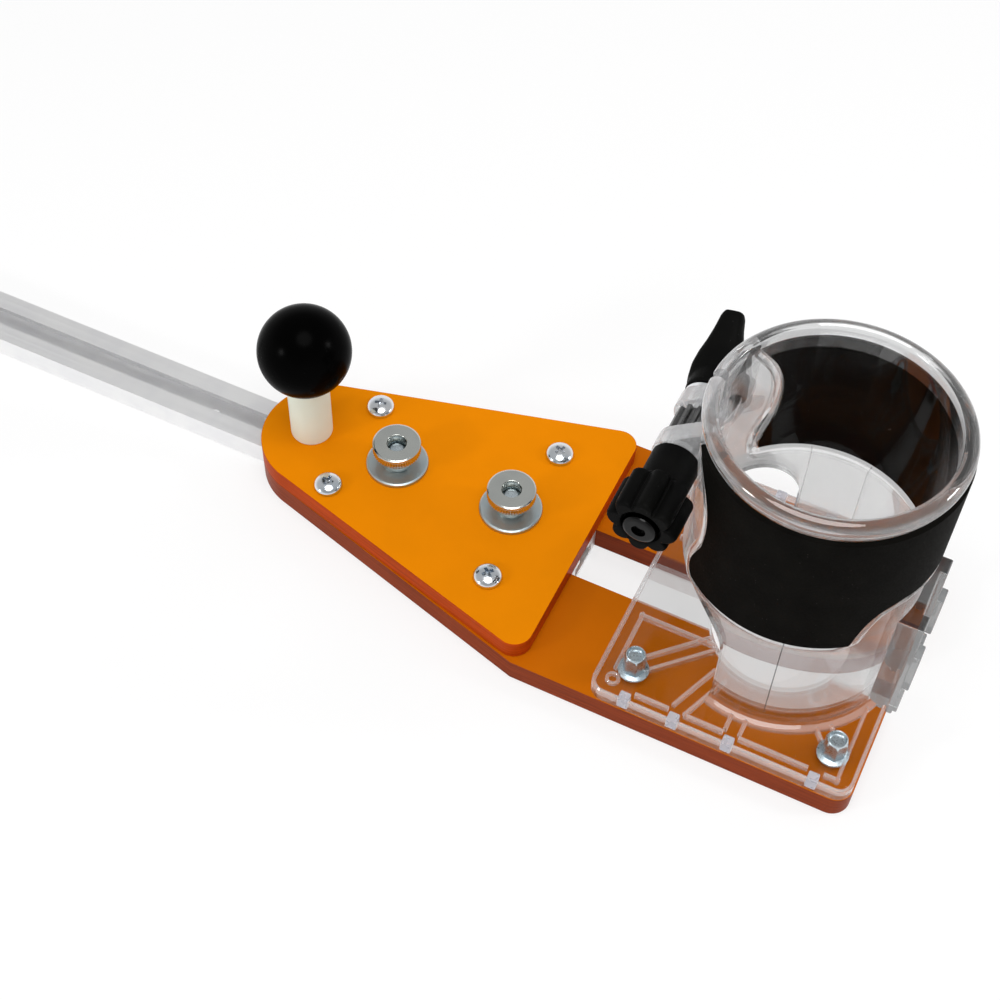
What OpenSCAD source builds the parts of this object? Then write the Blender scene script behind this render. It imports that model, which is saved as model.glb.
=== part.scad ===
// Router circle cutting jig: a tapered two-layer plate that rides on a T-track bar and carries a clear
// trim-router base. Lengths are in millimetres and +Z is up. Places along X are measured from the axis of
// the handle post, and framed() then moves the whole jig so that the origin is under the middle of its box.

/* [Plates] */
// Thickness of the top plate
top_t = 7; // [5:0.5:12]
// Radius of the rounded nose
nose_r = 22; // [20:0.5:25]
// Centre of the nose arc, ahead of the handle post
nose_x = 5.7; // [2:0.1:8]
// Right edge of the top plate
top_x = 100.4; // [96:0.1:105]
// Place where the lower layer's taper bends into the fork arms
arm_bend_x = 97; // [92:0.1:105]
// Corner radius of the plates
plate_corner_r = 6; // [2:0.5:9]
// Width over both fork arms
fork_w = 96.6; // [92:0.2:104]
// How far the fork arms reach past the clear base
fork_out = 0.5; // [0.2:0.1:4]

/* [Track] */
// Width of the T-track bar
track_w = 19.05; // [18:0.05:21]
// Height of the T-track bar
track_h = 8.2; // [8:0.1:12]
// Length of the T-track bar
track_len = 400; // [300:5:900]
// Width of the slot's throat
throat_w = 6.3; // [6.2:0.1:8]
// Width of the cavity under the lips
cavity_w = 12.8; // [12:0.1:14]
// Thickness of the two lips
lip_t = 2; // [1.5:0.1:2.5]
// Thickness of the track's floor
floor_t = 1.8; // [1.2:0.1:2.5]
// Radius of the pivot holes in the floor
pivot_r = 1.6; // [1.5:0.1:3]
// Distance of the first pivot hole from the track's right end
pivot_first = 140; // [130:1:180]
// Distance between pivot holes
pivot_pitch = 100; // [30:5:120]
// Gap between the track's sides and the side plates
track_side_gap = 0.2; // [0.1:0.05:0.5]
// Gap above and below the track
track_top_gap = 0.15; // [0.1:0.05:0.4]

/* [Track clamps] */
// Shank radius of the T-bolts
tbolt_r = 3; // [2.5:0.1:3]
// Width of a T-bolt's square head
tbolt_head_w = 10; // [9:0.5:11.5]
// Gap above a T-bolt's head, under the lips
tbolt_gap = 0.3; // [0.3:0.05:0.6]
// Place of the left clamp
left_clamp_x = 32.3; // [28:0.1:45]
// Place of the right clamp
right_clamp_x = 73.8; // [58:0.1:88]
// Outer radius of the clamp washers
washer_r = 10.3; // [9:0.1:12]
// Thickness of the clamp washers
washer_t = 1.5; // [1:0.1:2]
// Radius of a thumb nut's knurled head
nut_head_r = 8; // [7:0.1:10]
// Height of a thumb nut's knurled head
nut_head_h = 4.3; // [3:0.1:9]
// Radius of a thumb nut's collar
nut_collar_r = 5; // [4.2:0.1:7]
// Height of a thumb nut's collar
nut_collar_h = 5.2; // [2:0.1:7]

/* [Plate screws] */
// Shank radius of the plate screws
screw_r = 2.5; // [2:0.1:2.7]
// Head radius of the plate screws
screw_head_r = 4.7; // [4.4:0.1:5.5]
// Head height of the plate screws
screw_head_h = 3.2; // [2:0.1:4]
// Place of the two screws by the nose
nose_screw_x = 16.3; // [14:0.1:22]
// Distance between the two screws by the nose
nose_screw_span = 36.6; // [34:0.1:38]
// Place of the two screws by the arms
arm_screw_x = 78.8; // [60:0.1:88]
// Distance between the two screws by the arms
arm_screw_span = 54.6; // [50:0.1:66]

/* [Handle] */
// Radius of the handle post
post_r = 7; // [6:0.1:9]
// Height of the handle post above the top plate
post_h = 26; // [20:0.5:40]
// Radius of the ball
ball_r = 15.15; // [13:0.05:20]
// Shank radius of the handle's screw
stud_r = 3; // [2.5:0.1:4]
// Head radius of the handle's countersunk screw
stud_head_r = 5.8; // [5:0.1:6.5]
// Outer radius of the ball's threaded insert
insert_r = 5; // [4.6:0.1:6]
// Length of the ball's threaded insert
insert_len = 14; // [10:0.5:18]

/* [Router base] */
// Left edge of the clear base
base_x0 = 122.5; // [119:0.1:124]
// Length of the clear base
base_len = 84; // [80:0.2:88]
// Width of the clear base
base_w = 94.6; // [90:0.2:96]
// Corner radius of the clear base
base_corner_r = 5; // [2:0.5:7]
// Thickness of the base's floor
base_t = 3; // [2:0.1:5]
// Height of the ribs on the base's floor
rib_h = 2.6; // [1:0.1:4]
// Thickness of the ribs
rib_t = 1.6; // [1.2:0.1:2.2]
// Distance between the two ribs of a pair
rib_pair = 4.6; // [3:0.1:6]
// Distance of the inner rail from the base's short edges
rib_inset_x = 4.3; // [3:0.1:6]
// Distance of the inner rail from the base's long edges
rail_in = 3.4; // [2.6:0.1:4.5]
// Distance of the inner rail from the middle plane
rib_mid_y = 16; // [14:0.1:20]
// Width of the gaps in the inner rail, where a tab joins it to the outer one
rail_gap = 5; // [3:0.5:7]
// Radius of the opening for the cutter
cutter_r = 22; // [16:0.5:26]
// How far the side plates' round cut-out stands back from that opening
cutter_clear = 0.4; // [0.2:0.1:2]
// Distance of the base screws by the clamp from the base's left edge
base_screw_in = 10.1; // [9:0.1:11]
// Distance of the other base screws from the base's right edge
base_screw_out = 9.3; // [8.4:0.1:11]
// Distance between base screws across the base
base_screw_span_y = 70.6; // [68:0.1:74]
// Shank radius of the base screws
base_screw_r = 2; // [1.6:0.1:2.5]
// Length of the base screws below their flange
base_screw_len = 11; // [8:0.1:11.4]
// Flange radius of the base screws
flange_r = 4.9; // [4.4:0.1:5.4]
// Flange thickness of the base screws
flange_t = 1.2; // [0.8:0.1:2]
// Width across flats of the base screws' hex heads
hex_af = 7; // [6:0.1:7.6]
// Height of the hex heads above the base
hex_h = 9.4; // [5:0.1:11]

/* [Motor tube] */
// Distance of the tube's axis from the base's right edge
tube_in = 38.5; // [37.7:0.1:40]
// Radius of the motor's bore
motor_r = 32.5; // [31.5:0.1:32.8]
// Wall of the tube
tube_wall = 3; // [2.5:0.1:3.2]
// Top of the tube's rim above the underside
tube_top_z = 115.4; // [112:0.1:130]
// Height of the rim's bead
rim_h = 6; // [4:0.1:8]
// How far the bead stands out of the wall
rim_out = 1.4; // [0.5:0.1:1.7]
// Height of the flare at the tube's foot
foot_h = 5; // [3:0.1:8]
// How far the flare stands out of the wall
foot_out = 2.8; // [1:0.1:2.9]
// Width of the chip window
window_w = 64.8; // [50:0.2:64.8]
// Top of the chip window
window_top_z = 50; // [42:0.5:57]
// Corner radius of the chip window
window_corner_r = 15; // [8:0.5:18]
// Width of the split in the tube
split_w = 3; // [2:0.1:5]

/* [Rubber grip] */
// Thickness of the rubber sleeve
grip_t = 1.8; // [1:0.1:2.2]
// Lower edge of the sleeve
grip_z0 = 60; // [58:0.5:63]
// Lower edge of the sleeve over the guide bracket
grip_step_z = 76; // [70:0.5:82]
// Width of the raised part over the guide bracket
grip_step_w = 46; // [32:0.5:50]
// Radius of the round cut that clears the knob and the wing nut
grip_cut_r = 27; // [26.5:0.5:28]
// Width of the open strip above that cut
grip_open_top = 35; // [28:0.5:40]
// Width of the open strip below that cut
grip_open_low = 41; // [28:0.5:44]
// Gap between the sleeve and the rim's bead
grip_rim_gap = 0.4; // [0.2:0.1:1]

/* [Clamp and depth adjuster] */
// Distance of the clamp axis from the tube's axis
clamp_out = 39.5; // [39.2:0.1:40.5]
// Height of the clamp axis
clamp_z = 87; // [84:0.5:90]
// Radius of the ears round the clamp axis
ear_r = 7.8; // [7.5:0.1:9.5]
// Height of the ears where they run into the tube
ear_root_h = 30; // [20:0.5:34]
// Thickness of each ear
ear_t = 6.4; // [5:0.1:8]
// Gap between the ears
ear_gap = 10; // [8:0.2:12]
// Shank radius of the clamp bolt
clamp_bolt_r = 3; // [2.5:0.1:3.2]
// Head radius of the clamp bolt
clamp_head_r = 5.2; // [4.5:0.1:5.5]
// Head height of the clamp bolt
clamp_head_h = 3; // [2:0.1:4]
// Outer radius of the pinion's hollow shaft
pinion_shaft_r = 4.5; // [4.3:0.05:4.8]
// Tip radius of the pinion
pinion_tip_r = 6.5; // [6.2:0.05:7]
// Root radius of the pinion
pinion_root_r = 5.2; // [5:0.05:5.6]
// Number of teeth on the pinion
pinion_teeth = 12; // [10:1:16]
// Gap at each side of the pinion
pinion_gap = 0.4; // [0.3:0.05:0.8]
// Radius of the depth knob's hub
knob_hub_r = 7.2; // [6.5:0.1:8]
// Length of the depth knob's hub
knob_hub_l = 12.4; // [8:0.1:16]
// Tip radius of the depth knob's lobes
knob_r = 10.6; // [10:0.1:12]
// Length of the depth knob's lobed head
knob_l = 13.8; // [10:0.1:18]
// Number of lobes on the depth knob
knob_lobes = 8; // [6:1:10]
// Radius of each lobe
knob_lobe_r = 2.7; // [2:0.1:3.5]
// Outer radius of the washer under the wing nut
wing_washer_r = 7.4; // [6:0.1:7.8]
// Thickness of the washer under the wing nut
wing_washer_t = 1.4; // [1:0.1:2]
// Radius of the wing nut's hub
wing_hub_r = 8; // [6.5:0.1:8.2]
// Length of the wing nut's hub
wing_hub_l = 9; // [7:0.1:12]
// Reach of each wing from the axis
wing_reach = 14; // [12:0.1:14.4]
// How far the wings sweep past the ear's washer
wing_sweep = 23; // [19:0.1:26]
// Thickness of the wings
wing_t = 6.4; // [4:0.1:6.8]
// Angle at which the wing nut rests, its upper wing leaning away from the tube
wing_rest_a = 12; // [0:1:90]

/* [Guide bracket] */
// Width of the guide bracket
bracket_w = 28; // [24:0.5:34]
// Top of the guide bracket
bracket_top_z = 57; // [40:0.5:66]
// How far the bracket stands out of the tube
bracket_out = 7; // [5.5:0.1:9]
// Width of the bracket's vertical channel
channel_w = 16; // [10:0.5:18]
// Depth of the bracket's vertical channel
channel_d = 4; // [2:0.1:4.5]
// Height of the step in the bracket's cheeks
cheek_step_h = 14; // [8:0.5:20]
// Depth of the step in the bracket's cheeks
cheek_step_d = 2; // [1:0.1:3]

/* [Clearances] */
// Radial gap of a screw in its hole
hole_gap = 0.25; // [0.15:0.05:0.4]
// Radial gap of a turning fit
turn_gap = 0.05; // [0.02:0.01:0.09]
// Gap between faces that turn on each other
face_gap = 0.1; // [0.05:0.05:0.3]
// Gap between the hubs on the clamp axis and the relief cut in the tube for them
relief_gap = 0.5; // [0.4:0.05:0.7]

/* [Hidden] */
$fn = 64;
over = 1;

// Heights of the stack, from the underside up
side_t = track_h + 2 * track_top_gap;
top_z = side_t + top_t;
base_top_z = side_t + base_t;
washer_top_z = top_z + washer_t;
nut_z = washer_top_z + face_gap;
nut_top_z = nut_z + nut_collar_h + nut_head_h;
post_top_z = top_z + post_h;
ball_flat_z = post_top_z + face_gap;
ball_z = ball_flat_z + sqrt(ball_r * ball_r - post_r * post_r);

// The track in its rest place, its right end flush with the top plate
track_x0 = top_x - track_len;
cavity_z0 = track_top_gap + floor_t;
cavity_z1 = track_top_gap + track_h - lip_t;
tbolt_head_top = cavity_z1 - tbolt_gap;
tbolt_head_h = tbolt_head_top - cavity_z0 - tbolt_gap;
tbolt_recess = 3;
pivot_count = floor((track_len - pivot_first - pivot_r * 4) / pivot_pitch);
gap_w = track_w + 2 * track_side_gap;

// The tapered outlines: the tangents from a corner of each layer to the nose arc
bend_y = fork_w / 2;
tangent_a = nose_tangent_a([top_x, bend_y]);
arm_tangent_a = nose_tangent_a([arm_bend_x, bend_y]);
taper_a = tangent_a - 90;
corner_y = bend_y - plate_corner_r * tan(taper_a) - plate_corner_r / cos(taper_a);
corner_c = [top_x - plate_corner_r, corner_y];
nose_steps = 48;
corner_steps = 12;

// The clear base, its screws and the tube
base_x1 = base_x0 + base_len;
base_screw_xs = [base_x0 + base_screw_in, base_x1 - base_screw_out];
rail_tabs = [0.14, 0.33, 0.54, 0.86];
ribbed_tabs = [1, 2];
tube_x = base_x1 - tube_in;
fork_x = base_x1 + fork_out;
tube_r = motor_r + tube_wall;
rim_z = tube_top_z - rim_h;
bracket_x1 = tube_x + tube_r + bracket_out;

// The clamp axis runs along Y, with the knob on the near side
clamp_x = tube_x - clamp_out;
ear_y = ear_gap / 2 + ear_t;
knob_y0 = -ear_y - face_gap;
knob_y1 = knob_y0 - knob_hub_l;
knob_y2 = knob_y1 - knob_l;
wing_y0 = ear_y + wing_washer_t + face_gap;
bolt_end_y = wing_y0 + wing_hub_l + 2;
knob_recess = 2;
pinion_window_h = 2 * pinion_tip_r + 4;
relief_r = max(wing_hub_r, wing_washer_r, knob_hub_r) + relief_gap;

// The box of the whole jig along X, which places the origin
box_x0 = track_x0;
box_x1 = max(bracket_x1, fork_x);

orange = [0.86, 0.46, 0.02];
zinc = [0.75, 0.76, 0.78];
clear = [0.86, 0.88, 0.9, 0.45];
black = [0.08, 0.08, 0.08];

// Angle on the nose arc where a line from a point meets it as a tangent
function nose_tangent_a(p) =
    atan2(p[1], p[0] - nose_x) + acos(nose_r / norm([p[0] - nose_x, p[1]]));

// Points along an arc from one angle to another
function arc(c, r, a0, a1, steps) = [
    for (i = [0 : steps]) let (a = a0 + (a1 - a0) * i / steps) c + r * [cos(a), sin(a)]
];

// Moves a piece from its place by the handle post into the jig's frame
module framed() {
    translate([-(box_x0 + box_x1) / 2, 0, 0]) children();
}

// Puts its children at the four plate screws
module at_plate_screws() {
    for (s = [-1, 1]) {
        translate([nose_screw_x, s * nose_screw_span / 2, 0]) children();
        translate([arm_screw_x, s * arm_screw_span / 2, 0]) children();
    }
}

// Puts its children at the four base screws
module at_base_screws() {
    for (x = base_screw_xs, s = [-1, 1]) translate([x, s * base_screw_span_y / 2, 0]) children();
}

// Puts its children on the clamp axis, with +Z turned to +Y
module on_clamp_axis(y) {
    translate([clamp_x, y, clamp_z]) rotate([-90, 0, 0]) children();
}

// A cylinder along the clamp axis between two places in Y
module clamp_rod(r, y0, y1) {
    on_clamp_axis(y0) cylinder(r = r, h = y1 - y0);
}

// A hexagonal prism across flats
module hex(af, h) {
    cylinder(r = af / sqrt(3), h = h, $fn = 6);
}

// A washer lying on its lower face
module washer(r, bore_r, t) {
    difference() {
        cylinder(r = r, h = t);
        translate([0, 0, -over]) cylinder(r = bore_r, h = t + 2 * over);
    }
}

// The top plate's outline: nose arc, tapered sides and two rounded corners
module top_outline() {
    polygon(concat(
        arc([nose_x, 0], nose_r, 360 - tangent_a, tangent_a, nose_steps),
        arc(corner_c, plate_corner_r, tangent_a, 0, corner_steps),
        arc([corner_c[0], -corner_c[1]], plate_corner_r, 0, -tangent_a, corner_steps)
    ));
}

// The far half of the lower layer: the same taper, then an arm parallel to the track
module side_outline() {
    arm_corner = [fork_x, bend_y] - plate_corner_r * [1, 1];
    nose_gap_a = 180 - asin(gap_w / 2 / nose_r);
    polygon(concat(
        arc([nose_x, 0], nose_r, nose_gap_a, arm_tangent_a, nose_steps),
        [[arm_bend_x, bend_y]],
        arc(arm_corner, plate_corner_r, 90, 0, corner_steps),
        [[fork_x, gap_w / 2]]
    ));
}

module top_plate() {
    color(orange) framed() difference() {
        translate([0, 0, side_t]) linear_extrude(top_t) top_outline();
        translate([0, 0, side_t - over]) {
            at_plate_screws() cylinder(r = screw_r + hole_gap, h = top_t + 2 * over);
            for (x = [left_clamp_x, right_clamp_x])
                translate([x, 0, 0]) cylinder(r = tbolt_r + hole_gap, h = top_t + 2 * over);
            cylinder(r = stud_r + hole_gap, h = top_t + 2 * over);
        }
        translate([0, 0, side_t])
            cylinder(r1 = stud_head_r + hole_gap, r2 = stud_r + hole_gap, h = stud_head_r - stud_r);
        translate([0, 0, side_t - over]) cylinder(r = stud_head_r + hole_gap, h = over);
    }
}

// One half of the lower layer, on the far side of the track, cut out round the cutter, with tapped holes for its screws
module side_plate() {
    difference() {
        linear_extrude(side_t) side_outline();
        translate([0, 0, -over]) {
            at_plate_screws() cylinder(r = screw_r, h = side_t + 2 * over);
            at_base_screws() cylinder(r = base_screw_r, h = side_t + 2 * over);
            translate([tube_x, 0, 0]) cylinder(r = cutter_r + cutter_clear, h = side_t + 2 * over);
        }
    }
}

module far_side_plate() {
    color(orange) framed() side_plate();
}

module near_side_plate() {
    color(orange) framed() mirror([0, 1, 0]) side_plate();
}

// A domed pan head with a cross recess
module plate_screws() {
    dome_r = (screw_head_r * screw_head_r + screw_head_h * screw_head_h) / (2 * screw_head_h);
    cross_w = screw_r * 0.45;
    cross_l = screw_r * 1.9;
    cross_d = screw_head_h * 0.55;
    color(zinc) framed() at_plate_screws() difference() {
        union() {
            translate([0, 0, hole_gap]) cylinder(r = screw_r, h = top_z - hole_gap);
            intersection() {
                translate([0, 0, top_z]) cylinder(r = screw_head_r, h = screw_head_h);
                translate([0, 0, top_z + screw_head_h - dome_r]) sphere(r = dome_r);
            }
        }
        for (a = [0, 90]) translate([0, 0, top_z + screw_head_h - cross_d / 2 + over / 2])
            rotate(a) cube([cross_l, cross_w, cross_d + over], center = true);
    }
}

// The extruded bar: a floor, two walls and two lips, with pivot holes along the floor
module t_track() {
    wall_w = (track_w - cavity_w) / 2;
    color([0.78, 0.79, 0.8]) framed() difference() {
        translate([track_x0, -track_w / 2, track_top_gap]) cube([track_len, track_w, track_h]);
        translate([track_x0 - over, -track_w / 2 + wall_w, cavity_z0])
            cube([track_len + 2 * over, cavity_w, cavity_z1 - cavity_z0]);
        translate([track_x0 - over, -throat_w / 2, cavity_z0])
            cube([track_len + 2 * over, throat_w, track_h]);
        for (i = [0 : pivot_count]) translate([top_x - pivot_first - i * pivot_pitch, 0, 0])
            cylinder(r = pivot_r, h = track_h);
    }
}

module t_bolts() {
    bolt_top = nut_top_z - tbolt_recess;
    color(zinc) framed() for (x = [left_clamp_x, right_clamp_x]) translate([x, 0, 0]) {
        translate([-tbolt_head_w / 2, -tbolt_head_w / 2, tbolt_head_top - tbolt_head_h])
            cube([tbolt_head_w, tbolt_head_w, tbolt_head_h]);
        translate([0, 0, tbolt_head_top - tbolt_head_h / 2])
            cylinder(r = tbolt_r, h = bolt_top - tbolt_head_top + tbolt_head_h / 2);
    }
}

module clamp_washers() {
    color(zinc) framed() for (x = [left_clamp_x, right_clamp_x])
        translate([x, 0, top_z]) washer(washer_r, tbolt_r + hole_gap, washer_t);
}

// A thumb nut: a plain collar under a wide head with turned edges and a countersunk bore
module thumb_nut() {
    edge = 0.8;
    dish_r = tbolt_r + 0.6;
    top = nut_collar_h + nut_head_h;
    bore = tbolt_r + turn_gap;
    translate([0, 0, nut_z]) rotate_extrude() polygon([
        [bore, 0], [nut_collar_r, 0], [nut_collar_r, nut_collar_h], [nut_head_r - edge, nut_collar_h],
        [nut_head_r, nut_collar_h + edge], [nut_head_r, top - edge], [nut_head_r - edge, top],
        [dish_r, top], [bore, top - (dish_r - bore)]
    ]);
}

module left_thumb_nut() {
    color(zinc) framed() translate([left_clamp_x, 0, 0]) thumb_nut();
}

module right_thumb_nut() {
    color(zinc) framed() translate([right_clamp_x, 0, 0]) thumb_nut();
}

module handle_post() {
    color([0.93, 0.93, 0.9]) framed() translate([0, 0, top_z]) washer(post_r, stud_r + hole_gap, post_h);
}

// The countersunk screw that comes up through the top plate and the post
module handle_screw() {
    head_h = stud_head_r - stud_r;
    screw_top = ball_flat_z + insert_len - face_gap;
    color(zinc) framed() translate([0, 0, side_t + hole_gap]) {
        cylinder(r1 = stud_head_r, r2 = stud_r, h = head_h);
        translate([0, 0, head_h / 2]) cylinder(r = stud_r, h = screw_top - side_t - hole_gap - head_h / 2);
    }
}

module handle_ball() {
    color(black) framed() difference() {
        translate([0, 0, ball_z]) sphere(r = ball_r, $fn = 96);
        translate([-ball_r, -ball_r, ball_flat_z - 2 * ball_r]) cube(2 * ball_r);
        translate([0, 0, ball_flat_z - over]) cylinder(r = insert_r, h = insert_len + over);
    }
}

module ball_insert() {
    color([0.8, 0.62, 0.3]) framed() translate([0, 0, ball_flat_z])
        washer(insert_r, stud_r + turn_gap, insert_len);
}

// A rectangle with round corners, from its lower-left corner
module rounded_rect(size, r) {
    translate([r, 0]) square([size[0] - 2 * r, size[1]]);
    translate([0, r]) square([size[0], size[1] - 2 * r]);
    for (x = [r, size[0] - r], y = [r, size[1] - r]) translate([x, y]) circle(r = r);
}

// The base's outline drawn in by an inset
module base_outline(inset) {
    translate([base_x0 + inset, inset - base_w / 2])
        rounded_rect([base_len - 2 * inset, base_w - 2 * inset], base_corner_r - inset);
}

// A pair of ribs from a point on the base to the tube's axis
module rib_pair_from(p) {
    to_tube = [tube_x, 0] - p;
    translate(p) rotate(atan2(to_tube[1], to_tube[0]))
        for (side = [-1, 1]) translate([0, (side * rib_pair - rib_t) / 2]) square([norm(to_tube), rib_t]);
}

// Places of the tabs that join the two rails of a long edge
module at_rail_tabs() {
    for (k = rail_tabs, s = [-1, 1])
        translate([base_x0 + k * base_len, s * (base_w - rib_t - rail_in) / 2]) children();
}

// The inner rail of the near half: along its long edge, both ends and beside the middle
module inner_rail() {
    x0 = base_x0 + rib_inset_x;
    y0 = rail_in - base_w / 2;
    size = [base_len - 2 * rib_inset_x, base_w / 2 - rail_in - rib_mid_y];
    difference() {
        translate([x0, y0]) square(size);
        translate([x0, y0] + rib_t * [1, 1]) square(size - 2 * rib_t * [1, 1]);
    }
}

// All the ribs and rails of the base, seen from above
module rib_plan() {
    difference() {
        union() {
            difference() {
                base_outline(0);
                base_outline(rib_t);
            }
            difference() {
                intersection() {
                    union() {
                        inner_rail();
                        mirror([0, 1, 0]) inner_rail();
                        for (x = base_screw_xs, s = [-1, 1]) rib_pair_from([x, s * base_screw_span_y / 2]);
                        for (i = ribbed_tabs, s = [-1, 1])
                            rib_pair_from([base_x0 + rail_tabs[i] * base_len, s * (base_w / 2 - rail_in)]);
                    }
                    base_outline(0);
                }
                at_rail_tabs() square([rail_gap, rail_in + 2 * rib_t], center = true);
            }
        }
        translate([tube_x, 0]) circle(r = tube_r + foot_out);
        translate([base_x0 - over, -gap_w / 2]) square([base_len / 2, gap_w]);
        translate([bracket_x1 - bracket_out - tube_wall, -bracket_w / 2])
            square([bracket_out + tube_wall, bracket_w]);
        at_base_screws() circle(r = flange_r + hole_gap);
    }
}

// The clear floor with its rails, tabs and ribs
module base_plate() {
    color(clear) framed() difference() {
        union() {
            translate([0, 0, side_t]) linear_extrude(base_t) base_outline(0);
            translate([0, 0, base_top_z]) {
                linear_extrude(rib_h) rib_plan();
                linear_extrude(rib_h / 2) at_rail_tabs() square([rail_gap - rib_t, rail_in], center = true);
            }
        }
        translate([tube_x, 0, side_t - over]) cylinder(r = cutter_r, h = base_t + 2 * over);
        translate([0, 0, side_t - over])
            at_base_screws() cylinder(r = base_screw_r + hole_gap, h = base_t + 2 * over);
    }
}

// One ear of the clamp, seen along Y: a round tab that runs back into the tube's wall
module ear_profile() {
    circle(r = ear_r);
    polygon([
        [0, -ear_r], [clamp_out - motor_r, -ear_root_h / 2],
        [clamp_out - motor_r, ear_root_h / 2], [0, ear_r]
    ]);
}

module ears() {
    for (y = [ear_gap / 2, -ear_y]) translate([0, y + ear_t, 0])
        on_clamp_axis(0) translate([0, 0, -ear_t]) linear_extrude(ear_t) ear_profile();
}

// The chip window's outline in Y and Z
module window_outline() {
    hull_h = window_top_z - base_top_z;
    translate([-window_w / 2, -over]) difference() {
        union() {
            square([window_w, hull_h + over - window_corner_r]);
            translate([window_corner_r, 0]) square([window_w - 2 * window_corner_r, hull_h + over]);
            for (x = [window_corner_r, window_w - window_corner_r])
                translate([x, hull_h + over - window_corner_r]) circle(r = window_corner_r);
        }
        translate([-over, -window_w]) square([window_w + 2 * over, window_w]);
    }
}

// The clear tube: wall, rim bead, foot flare and clamp ears, with the chip window, the split and reliefs
// for the hubs on the clamp axis
module motor_tube() {
    bead_r = rim_h / 2;
    wall_h = tube_top_z - base_top_z;
    color(clear) framed() difference() {
        union() {
            translate([tube_x, 0, base_top_z]) {
                cylinder(r = tube_r, h = wall_h - bead_r);
                cylinder(r1 = tube_r + foot_out, r2 = tube_r, h = foot_h);
            }
            translate([tube_x, 0, 0]) rotate_extrude() {
                translate([tube_r + rim_out - bead_r, tube_top_z - bead_r]) circle(r = bead_r);
                translate([motor_r, rim_z]) square([tube_r + rim_out - bead_r - motor_r, rim_h]);
            }
            ears();
        }
        translate([tube_x, 0, base_top_z - over]) cylinder(r = motor_r, h = wall_h + 2 * over);
        translate([tube_x - 2 * tube_r, 0, base_top_z]) rotate([90, 0, 90])
            linear_extrude(2 * tube_r) window_outline();
        translate([tube_x - tube_r - rim_h, -split_w / 2, base_top_z])
            cube([tube_r, split_w, wall_h + over]);
        translate([clamp_x, -ear_gap / 2, clamp_z - pinion_window_h / 2])
            cube([clamp_out, ear_gap, pinion_window_h]);
        clamp_rod(pinion_shaft_r + turn_gap, -ear_y - over, 0);
        clamp_rod(clamp_bolt_r + hole_gap, 0, ear_y + over);
        for (y = [ear_y, -tube_r]) clamp_rod(relief_r, y, y + tube_r - ear_y);
    }
}

// The stepped holder for an edge guide, fitted to the tube's front
module guide_bracket() {
    z0 = base_top_z;
    h = bracket_top_z - z0;
    channel_x = bracket_x1 - channel_d;
    color(clear) framed() difference() {
        translate([tube_x + motor_r, -bracket_w / 2, z0]) cube([bracket_x1 - tube_x - motor_r, bracket_w, h]);
        translate([tube_x, 0, z0 - over]) cylinder(r = tube_r, h = h + 2 * over);
        translate([tube_x, 0, z0 - over / 2])
            cylinder(r1 = tube_r + foot_out * (1 + over / 2 / foot_h), r2 = tube_r, h = foot_h + over / 2);
        translate([channel_x, -channel_w / 2, z0 - over]) cube([channel_d + over, channel_w, h + 2 * over]);
        for (z = [bracket_top_z - cheek_step_h, z0 - over])
            translate([bracket_x1 - cheek_step_d, -bracket_w / 2 - over, z])
                cube([cheek_step_d + over, bracket_w + 2 * over, cheek_step_h + over]);
    }
}

// The black sleeve on the tube, cut away round the clamp and stepped up over the guide bracket
module rubber_grip() {
    z1 = rim_z - grip_rim_gap;
    far = tube_r + grip_t + over;
    step_r = 6;
    color([0.1, 0.1, 0.1]) framed() difference() {
        translate([tube_x, 0, grip_z0]) cylinder(r = tube_r + grip_t, h = z1 - grip_z0);
        translate([tube_x, 0, grip_z0 - over]) cylinder(r = tube_r, h = z1 - grip_z0 + 2 * over);
        translate([tube_x - far, 0, 0]) rotate([90, 0, 90]) linear_extrude(far) {
            translate([0, clamp_z]) circle(r = grip_cut_r);
            translate([-grip_open_top / 2, clamp_z]) square([grip_open_top, z1 + over - clamp_z]);
            translate([-grip_open_low / 2, grip_z0 - over]) square([grip_open_low, clamp_z - grip_z0 + over]);
        }
        translate([tube_x, 0, 0]) rotate([90, 0, 90]) linear_extrude(far)
            translate([-grip_step_w / 2, grip_z0 - step_r - over])
                rounded_rect([grip_step_w, grip_step_z - grip_z0 + step_r + over], step_r);
    }
}

// Hex heads on a flange, with a chamfered crown and a dished top
module base_screws() {
    crown_r = hex_af / 2 * 0.94;
    crown_h = 0.9;
    dish_r = hex_af / 2 * 0.76;
    dish_d = 1.3;
    color(zinc) framed() at_base_screws() translate([0, 0, base_top_z]) {
        translate([0, 0, -base_screw_len]) cylinder(r = base_screw_r, h = base_screw_len + flange_t / 2);
        cylinder(r = flange_r, h = flange_t);
        difference() {
            intersection() {
                hex(hex_af, hex_h);
                rotate_extrude() polygon([
                    [0, 0], [hex_af, 0], [hex_af, hex_h - crown_h - (hex_af - crown_r) / 2],
                    [crown_r, hex_h], [0, hex_h]
                ]);
            }
            translate([0, 0, hex_h - dish_d]) cylinder(r1 = dish_r / 2, r2 = dish_r, h = dish_d);
        }
    }
}

// The bolt through the knob, both ears and the wing nut
module clamp_bolt() {
    head_y = knob_y2 + knob_recess - face_gap;
    color(zinc) framed() {
        clamp_rod(clamp_bolt_r, head_y - clamp_head_h / 2, bolt_end_y);
        clamp_rod(clamp_head_r, head_y - clamp_head_h, head_y);
    }
}

module wing_washer() {
    color(zinc) framed() on_clamp_axis(ear_y) washer(wing_washer_r, clamp_bolt_r + hole_gap, wing_washer_t);
}

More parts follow.
